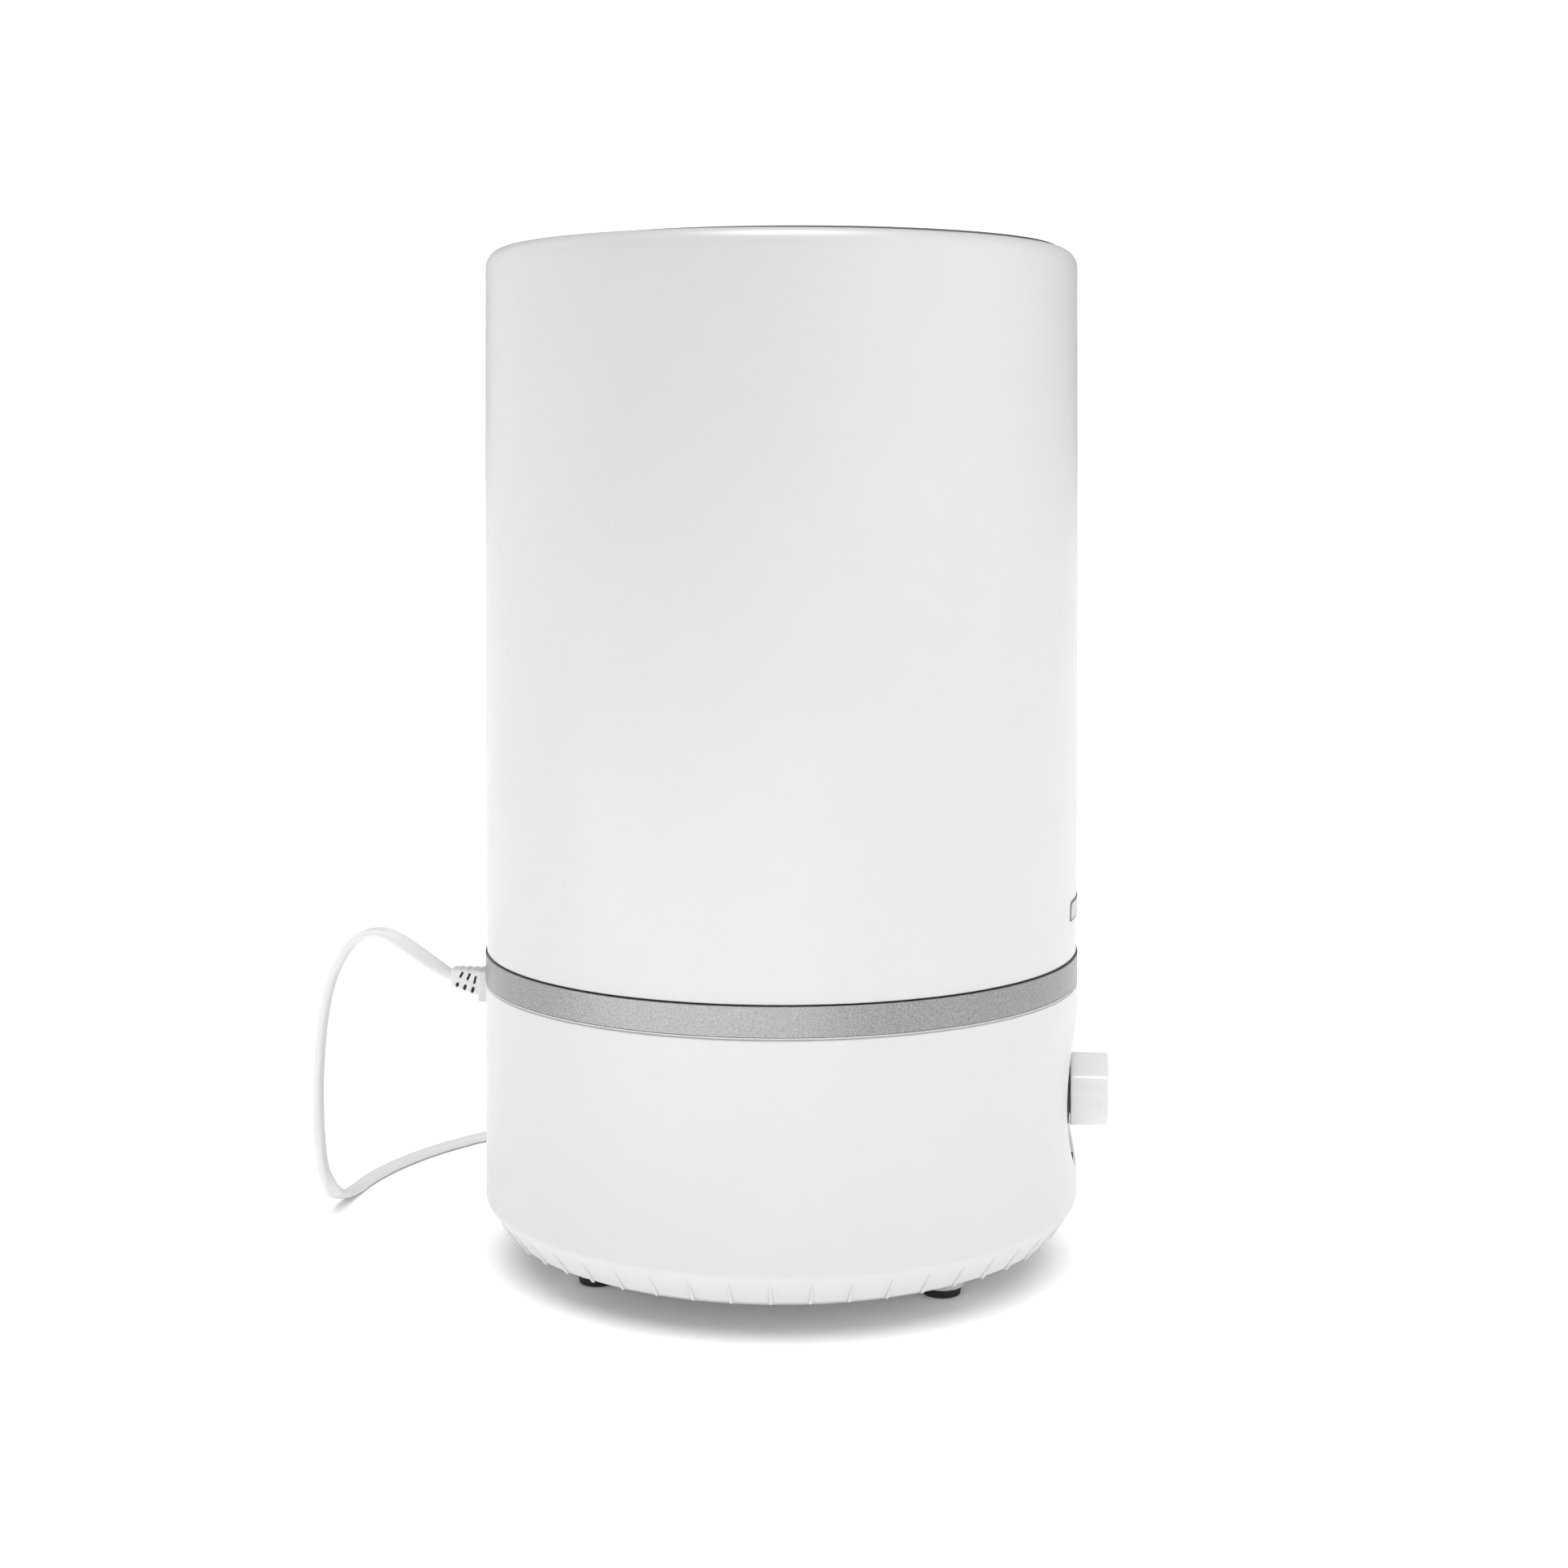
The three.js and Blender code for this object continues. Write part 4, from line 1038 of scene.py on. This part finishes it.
def make_tank():
    """Outer shell: slightly barrelled wall, rounded rim and the forward-set seat for the lid."""
    wall = [(97.0, TANK_LOW), (97.3, TANK_LOW + 0.1), (97.5, TANK_LOW + 0.4)]
    wall += TANK_WALL
    wall += arc(97.3 - RIM_FILLET, TANK_TOP - RIM_FILLET, RIM_FILLET, 0, 90, 12)
    seat_r = LID_R + 0.45
    shift = LID_SHIFT
    seat = [
        (seat_r + 0.4, TANK_TOP, shift), (seat_r + 0.1, TANK_TOP - 0.1, shift),
        (seat_r, TANK_TOP - 0.4, shift), (seat_r, TANK_TOP - 2.9, shift),
        (83.4, TANK_TOP - 2.9, shift), (83.0, TANK_TOP - 3.3, shift),
        (83.0, TANK_TOP - 8.0, shift), (92.0, TANK_TOP - 16.0), (95.2, TANK_TOP - 22.0),
        (95.2, 110.0), (95.2, TANK_LOW),
    ]
    tank = add_mesh("tank", *lathe(wall + seat, 240), "tank", "white_shell")
    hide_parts("tank_shell")


def make_tank_floor():
    """Floor plate with its locating skirt, plus the neck that the cap locks on to."""
    corners = [
        (22.6, 104.0, 0), (89.2, 104.0, 0.4), (89.2, 97.2, 0.4), (91.4, 97.2, 0.4),
        (91.4, 104.0, 0.2), (95.0, 104.0, 0.2), (95.0, 106.5, 0), (22.6, 106.5, 0),
    ]
    floor = turned("tank_bottom", corners, "tank", "inner_plastic")
    hole = [(0, 100), (17, 100), (17, 110), (0, 110)]
    cut(floor, [lathe(hole, MEDIUM, 0, VALVE_Y)])
    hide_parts("tank_floor")
    neck = [(17.0, 96.0, 0.3), (19.5, 96.0, 0.3), (19.5, 104.3, 0), (17.0, 104.3, 0)]
    turned("tank_neck", neck, "tank", "inner_plastic", MEDIUM, 0, VALVE_Y)
    pipe = [(20.0, 97.0, 0.6), (22.2, 97.0, 0.6), (22.2, 318.0, 0.6), (20.0, 318.0, 0.6)]
    chimney = turned("chimney", pipe, "tank", "inner_plastic", 96)
    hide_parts("mist_chimney")


def make_cap():
    """Locking cap with finger ribs, the valve's seat and the cage round the plunger."""
    cup = [
        (7, 86, 0.4), (22.3, 86, 0.9), (22.3, 103, 0.5), (20, 103, 0.4), (20, 88.5, 0.4), (7, 88.5, 0.4),
    ]
    cage = [(11.5, 88.4, 0), (13.5, 88.4, 0), (13.5, 96, 0), (11.5, 96, 0)]
    top = [(3.3, 108, 0.2), (13.5, 108, 0.4), (13.5, 110, 0.6), (3.3, 110, 0.2)]
    shapes = [lathe(rounded(cup), 96, 0, VALVE_Y)]
    for a in angles(36):
        x, y = 22.2 * cos(a), VALVE_Y + 22.2 * sin(a)
        rib = [(x, y, z) for z in (87.4, 88.0, 95, 101, 101.8)]
        shapes.append(taper(rib, [0.2, 0.7, 0.75, 0.7, 0.2], 10))
    shapes += [lathe(rounded(ring), MEDIUM, 0, VALVE_Y) for ring in (cage, top)]
    for a in angles(6):
        place = Matrix.Translation((0, VALVE_Y, 0)) @ Matrix.Rotation(a, 4, "Z")
        shapes.append(soft_box((2.0, 4.0, 13.0), 0.4, place @ Matrix.Translation((12.5, 0, 102))))
    cap = add_mesh("lock_cap", *merged(shapes), "cap", "inner_plastic")
    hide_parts("valve_cap")


SPRING_WIRE = 0.45
# (piece, body, radius, bottom, top) of the closing spring's two stages
SPRING_STAGES = (
    ("spring_lower", "valve", 6.4, 93.2, 101.4),
    ("spring_upper", "cap", 5.2, 99.6, 107.4),
)


def make_spring(turns=3.5, steps=120):
    """Closing spring in two stages, one inside the other, so that it shortens when the valve lifts."""
    wire = [(SPRING_WIRE * cos(a), SPRING_WIRE * sin(a)) for a in angles(12)]
    for name, body, radius, low, high in SPRING_STAGES:
        line = []
        for i in range(steps + 1):
            a = 2 * pi * turns * i / steps
            height = low + (high - low) * i / steps
            line.append(Vector((radius * cos(a), VALVE_Y + radius * sin(a), height, 0)))
        stage = add_mesh(name, *ribbon(line, wire), body, "steel")
        if body == "valve":
            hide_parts("valve_spring")


INLAY_HALF, INLAY_LOW, INLAY_TALL, INLAY_CORNER = 20.9, 115.3, 5.8, 2.3


def inlay_outline(grow, steps=10):
    """The inlay's outline: a straight foot and two round shoulders."""
    half, low, high = INLAY_HALF + grow, INLAY_LOW - grow, INLAY_LOW + INLAY_TALL + grow
    r = INLAY_CORNER + grow
    outline = [(x, low) for x in (-half + 0.3, half - 0.3)]
    outline += [(half - 0.08, low + 0.1), (half, low + 0.5)]
    outline += arc(half - r, high - r, r, 0, 90, steps)
    outline += arc(r - half, high - r, r, 90, 180, steps)
    outline += [(-half, low + 0.5), (-half + 0.08, low + 0.1)]
    return outline


def inlay_layer(steps):
    """A flat-faced layer that follows the tank's curve, from (growth of the outline, radius) steps."""
    points = []
    for grow, radius in steps:
        outline = dense_outline(inlay_outline(grow))
        points += [(x, -sqrt(radius * radius - x * x), z) for x, z in outline]
    count = len(outline)
    last = (len(steps) - 1) * count
    face = inlay_face(points, list(range(last, last + count)))
    return points, strips(len(steps), count) + face


def make_inlay():
    """Plain inlay on the tank's front: a silver face inside a dark rim, whose dark colour is painted
    shade of the gap round the face.
    """
    # The dark rim is painted shade: it stands in for the shade of the gap round the silver face.
    rim = inlay_layer(((0.3, 97.1), (0.3, 97.75), (0.2, 97.85), (-0.3, 97.85)))
    add_mesh("inlay_rim_painted_shade", *rim, "tank", "dark_trim")
    face = inlay_layer(((-0.25, 97.1), (-0.25, 97.85), (-0.4, 97.98), (-0.8, 98.0)))
    inlay = add_mesh("inlay", *face, "tank", "silver_trim", PALE_SILVER_AND_EDGE_HIGHLIGHT)
    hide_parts("front_badge")


def dense_outline(outline, spacing=1.2):
    """The outline with its long straights divided, so that it can follow the tank's curve."""
    dense = []
    for i, (x, z) in enumerate(outline):
        nx, nz = outline[(i + 1) % len(outline)]
        parts = max(1, round(hypot(nx - x, nz - z) / spacing))
        dense += [(x + (nx - x) * k / parts, z + (nz - z) * k / parts) for k in range(parts)]
    return dense


def inlay_face(points, ring):
    """Vertical strips between the foot and the top of a ring of points."""
    left = min(ring, key=lambda i: (round(points[i][0], 3), points[i][2]))
    start = ring.index(left)
    order = ring[start:] + ring[:start]
    faces = []
    low, high = 0, len(ring)
    while high - low > 3:
        faces.append([order[low], order[low + 1], order[high - 2], order[high - 1]])
        low += 1
        high -= 1
    return faces + [order[low:high]]


make_tank()
make_tank_floor()
make_cap()
make_spring()
make_inlay()


# ---------------- lid and nozzle
LID_ROWS = 30
NOZZLE_SIDES, MOUTH_SIDES = 120, 72
MOUTH_Y, MOUTH_Z = -10.5, 340.0
MOUTH_WIDE, MOUTH_LONG, LIP_GAP = 11.0, 6.5, 0.2
MOUTH_LEAN = radians(25)
DOME = [
    (22.8, 333.6), (22.6, 334.6), (21.9, 335.6), (20.6, 336.4), (18.0, 337.2), (14.0, 337.9),
    (9.0, 338.3), (4.0, 338.4), (0, 338.4),
]


def make_lid():
    """Lid plate with a soft edge, a shallow ring round the nozzle and a finger scoop at the back."""
    top, low, s = LID_TOP, 329.3, LID_SHIFT
    rows = [
        (23.3, low, 0), (23.3, top - 0.5, 0), (23.5, top - 0.15, 0), (23.9, top, 0),
        (28.0, top, 0), (28.5, top - 0.1, 0), (28.9, top - 0.5, 0), (29.6, top - 0.8, 0),
    ]
    for k in range(LID_ROWS + 1):
        t = k / LID_ROWS
        rows.append((31 + (79.5 - 31) * t, top - 0.8, s * t))
    rows += [
        (80.2, top - 0.6, s), (80.6, top - 0.15, s), (81.2, top, s), (85.3, top, s),
        (85.8, top - 0.15, s), (86.0, top - 0.5, s), (86.0, low, s), (81.5, low, s),
        (81.5, 322.2, s), (81.2, 322.0, s), (79.6, 322.0, s), (79.5, 322.4, s), (79.5, low, s),
    ]
    points, faces = lathe(rows, SIDES)
    plate = ([scooped(p) for p in points], faces)
    collar = rounded([(23.3, 322.5, 0.3), (26, 322.5, 0.4), (26, 329.6, 0), (23.3, 329.6, 0)])
    lid = add_mesh("lid", *merged([plate, lathe(collar, 96)]), "lid", "grey_cover")
    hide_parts("top_cover")


SCOOP_Y, SCOOP_WIDE, SCOOP_LONG, SCOOP_DEPTH = 62.0, 15.0, 9.0, 2.3


def scooped(point):
    """Lowers the points of the lid's top that lie in the finger scoop."""
    x, y, z = point
    if z < LID_TOP - 1.2:
        return point
    inside = 1 - (x / SCOOP_WIDE) ** 2 - ((y - SCOOP_Y) / SCOOP_LONG) ** 2
    if inside <= 0:
        return point
    return (x, y, z - SCOOP_DEPTH * inside * inside * (3 - 2 * inside))


def make_nozzle():
    """Low dome with a slanted oval mouth, over the tube that stands in the chimney."""
    outside = [
        (15.0, 316.0), (17.0, 316.0), (17.0, 319.6), (24.4, 319.6), (24.6, 319.9), (24.6, 321.6),
        (24.4, 321.8), (22.8, 322.2),
    ]
    inside = [
        (0, 335.6), (8.0, 335.4), (15.8, 334.4), (19.2, 333.2), (20.4, 331.2), (20.4, 325.0),
        (15.0, 321.6),
    ]
    nozzle = add_mesh("outlet", *lathe(outside + DOME + inside, NOZZLE_SIDES), "nozzle", "grey_cover")
    lean = Matrix.Rotation(MOUTH_LEAN, 4, "X") @ Matrix.Diagonal((MOUTH_WIDE, MOUTH_LONG, 1, 1))
    mouth = Matrix.Translation((0, MOUTH_Y, MOUTH_Z)) @ lean
    points, faces = lathe([(0, -12), (1, -12), (1, 12), (0, 12)], MOUTH_SIDES)
    cut(nozzle, [([mouth @ Vector(p) for p in points], faces)])
    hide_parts("mist_nozzle")
    lip = ring_tube([nozzle_lip(a) for a in angles(MOUTH_SIDES)], 0.55)
    add_mesh("outlet_lip", *lip, "nozzle", "silver_trim")


def nozzle_lip(a):
    """A point of the mouth's edge, where the slanted oval meets the dome, found by halving."""
    x, across = (MOUTH_WIDE + LIP_GAP) * cos(a), (MOUTH_LONG + LIP_GAP) * sin(a)
    lean_y, lean_z = cos(MOUTH_LEAN), sin(MOUTH_LEAN)
    y0, z0 = MOUTH_Y + across * lean_y, MOUTH_Z + across * lean_z
    low, high = -8.0, 4.0
    for _ in range(30):
        step = (low + high) / 2
        y, z = y0 - step * lean_z, z0 + step * lean_y
        if z > dome_height(hypot(x, y)):
            high = step
        else:
            low = step
    return Vector((x, y0 - low * lean_z, z0 + low * lean_y + 0.05))


def dome_height(r):
    """Height of the dome's outside at a radius."""
    profile = DOME[::-1]
    for (r0, z0), (r1, z1) in zip(profile, profile[1:]):
        if r <= r1:
            return z0 + (z1 - z0) * (r - r0) / (r1 - r0)
    return profile[-1][1]


def ring_tube(loop, r, sides=10):
    """A thin round bead along a closed loop."""
    points = []
    over = Vector((0, 0, 1))
    for i, here in enumerate(loop):
        ahead = (loop[(i + 1) % len(loop)] - loop[i - 1]).normalized()
        across = ahead.cross(over).normalized()
        points += [here + across * r * cos(a) + over * r * sin(a) for a in angles(sides)]
    return points, strips(len(loop), sides, closed=True)


make_lid()
make_nozzle()


# ---------------- floor, world and lights
FLOOR_REACH = 30.0  # metres
# (direction, cosine from which it rises, strength) of the surround's bright sides
WORLD_GLOWS = (
    ((-0.40, -0.91, 0.15), 0.45, 1.9),
    ((0.30, 0.96, 0.15), 0.6, 1.65),
)
# (name, strength, width in degrees, what the light does with the floor) of each light from above
SUNS = (
    ("overhead", 2.8, 30, "EXCLUDE"),
    ("floor_light", 3.9, 80, "INCLUDE"),
)
PANEL_POWER = 0.85
PANEL_SIZE = (1.1, 0.1)
PANEL_AT = (-0.45, 0.2, 0.055)
PANEL_TURN = radians(-114)


def make_floor():
    """White studio paper under the object."""
    mesh = bpy.data.meshes.new("floor")
    corners = ((-1, -1), (1, -1), (1, 1), (-1, 1))
    mesh.from_pydata([(x * FLOOR_REACH, y * FLOOR_REACH, 0) for x, y in corners], [], [(0, 1, 2, 3)])
    floor = bpy.data.objects.new("floor", mesh)
    bpy.context.collection.objects.link(floor)
    material, tree, shader = new_material("floor_paper")
    tint(tree, noise(tree, 30, 2), grey(0.93), grey(0.96), shader)
    shader.inputs["Roughness"].default_value = 0.95
    shader.inputs["Specular IOR Level"].default_value = 0.1
    shader.inputs["Emission Color"].default_value = (1, 1, 1, 1)
    shader.inputs["Emission Strength"].default_value = 0.05
    mesh.materials.append(material)
    return floor


def glow(tree, way, start, strength):
    """Extra brightness of the surround towards a direction, easing in from a cosine."""
    place = tree.nodes.new("ShaderNodeTexCoord")
    dot = tree.nodes.new("ShaderNodeVectorMath")
    dot.operation = "DOT_PRODUCT"
    dot.inputs[1].default_value = Vector(way).normalized()
    ease = new_node(tree, "ShaderNodeMapRange", From_Min=start, To_Max=strength)
    ease.interpolation_type = "SMOOTHSTEP"
    tree.links.new(place.outputs["Generated"], dot.inputs[0])
    tree.links.new(dot.outputs["Value"], ease.inputs["Value"])
    return ease.outputs["Result"]


def make_world():
    """A soft studio surround, brighter in front and behind, and plain white to the lens."""
    world = bpy.data.worlds.new("studio")
    bpy.context.scene.world = world
    world.use_nodes = True
    tree = world.node_tree
    tree.nodes.clear()
    total = tree.nodes.new("ShaderNodeMath")  # adds
    for socket, side in zip(total.inputs, WORLD_GLOWS):
        tree.links.new(glow(tree, *side), socket)
    fill = tree.nodes.new("ShaderNodeBackground")
    tree.links.new(total.outputs["Value"], fill.inputs["Strength"])
    white = new_node(tree, "ShaderNodeBackground", Color=(1, 1, 1, 1), Strength=1.2)
    rays = tree.nodes.new("ShaderNodeLightPath")
    mix = tree.nodes.new("ShaderNodeMixShader")
    out = tree.nodes.new("ShaderNodeOutputWorld")
    tree.links.new(rays.outputs["Is Camera Ray"], mix.inputs["Fac"])
    tree.links.new(fill.outputs["Background"], mix.inputs[1])
    tree.links.new(white.outputs["Background"], mix.inputs[2])
    tree.links.new(mix.outputs["Shader"], out.inputs["Surface"])


def new_light(name, kind, energy, turn):
    light = bpy.data.objects.new(name, bpy.data.lights.new(name, kind))
    light.data.energy = energy
    light.rotation_euler = turn
    bpy.context.collection.objects.link(light)
    return light


def make_overhead(floor):
    """A soft light for the object, and a broader one that keeps the floor white up to the foot."""
    for name, energy, degrees, state in SUNS:
        light = new_light(name, "SUN", energy, (radians(1), radians(-2), 0))
        light.data.angle = radians(degrees)
        receivers = bpy.data.collections.new(name + "_receivers")
        receivers.objects.link(floor)
        receivers.collection_objects[0].light_linking.link_state = state
        light.light_linking.receiver_collection = receivers


def make_low_panel():
    """A long low panel in front, which lights the base more than the tank."""
    light = new_light("low_panel", "AREA", PANEL_POWER, (pi / 2, 0, PANEL_TURN))
    light.data.shape = "RECTANGLE"
    light.data.size, light.data.size_y = PANEL_SIZE
    light.location = PANEL_AT
    light.visible_camera = False


make_world()
make_overhead(make_floor())
make_low_panel()
bpy.context.scene.view_settings.view_transform = "Standard"
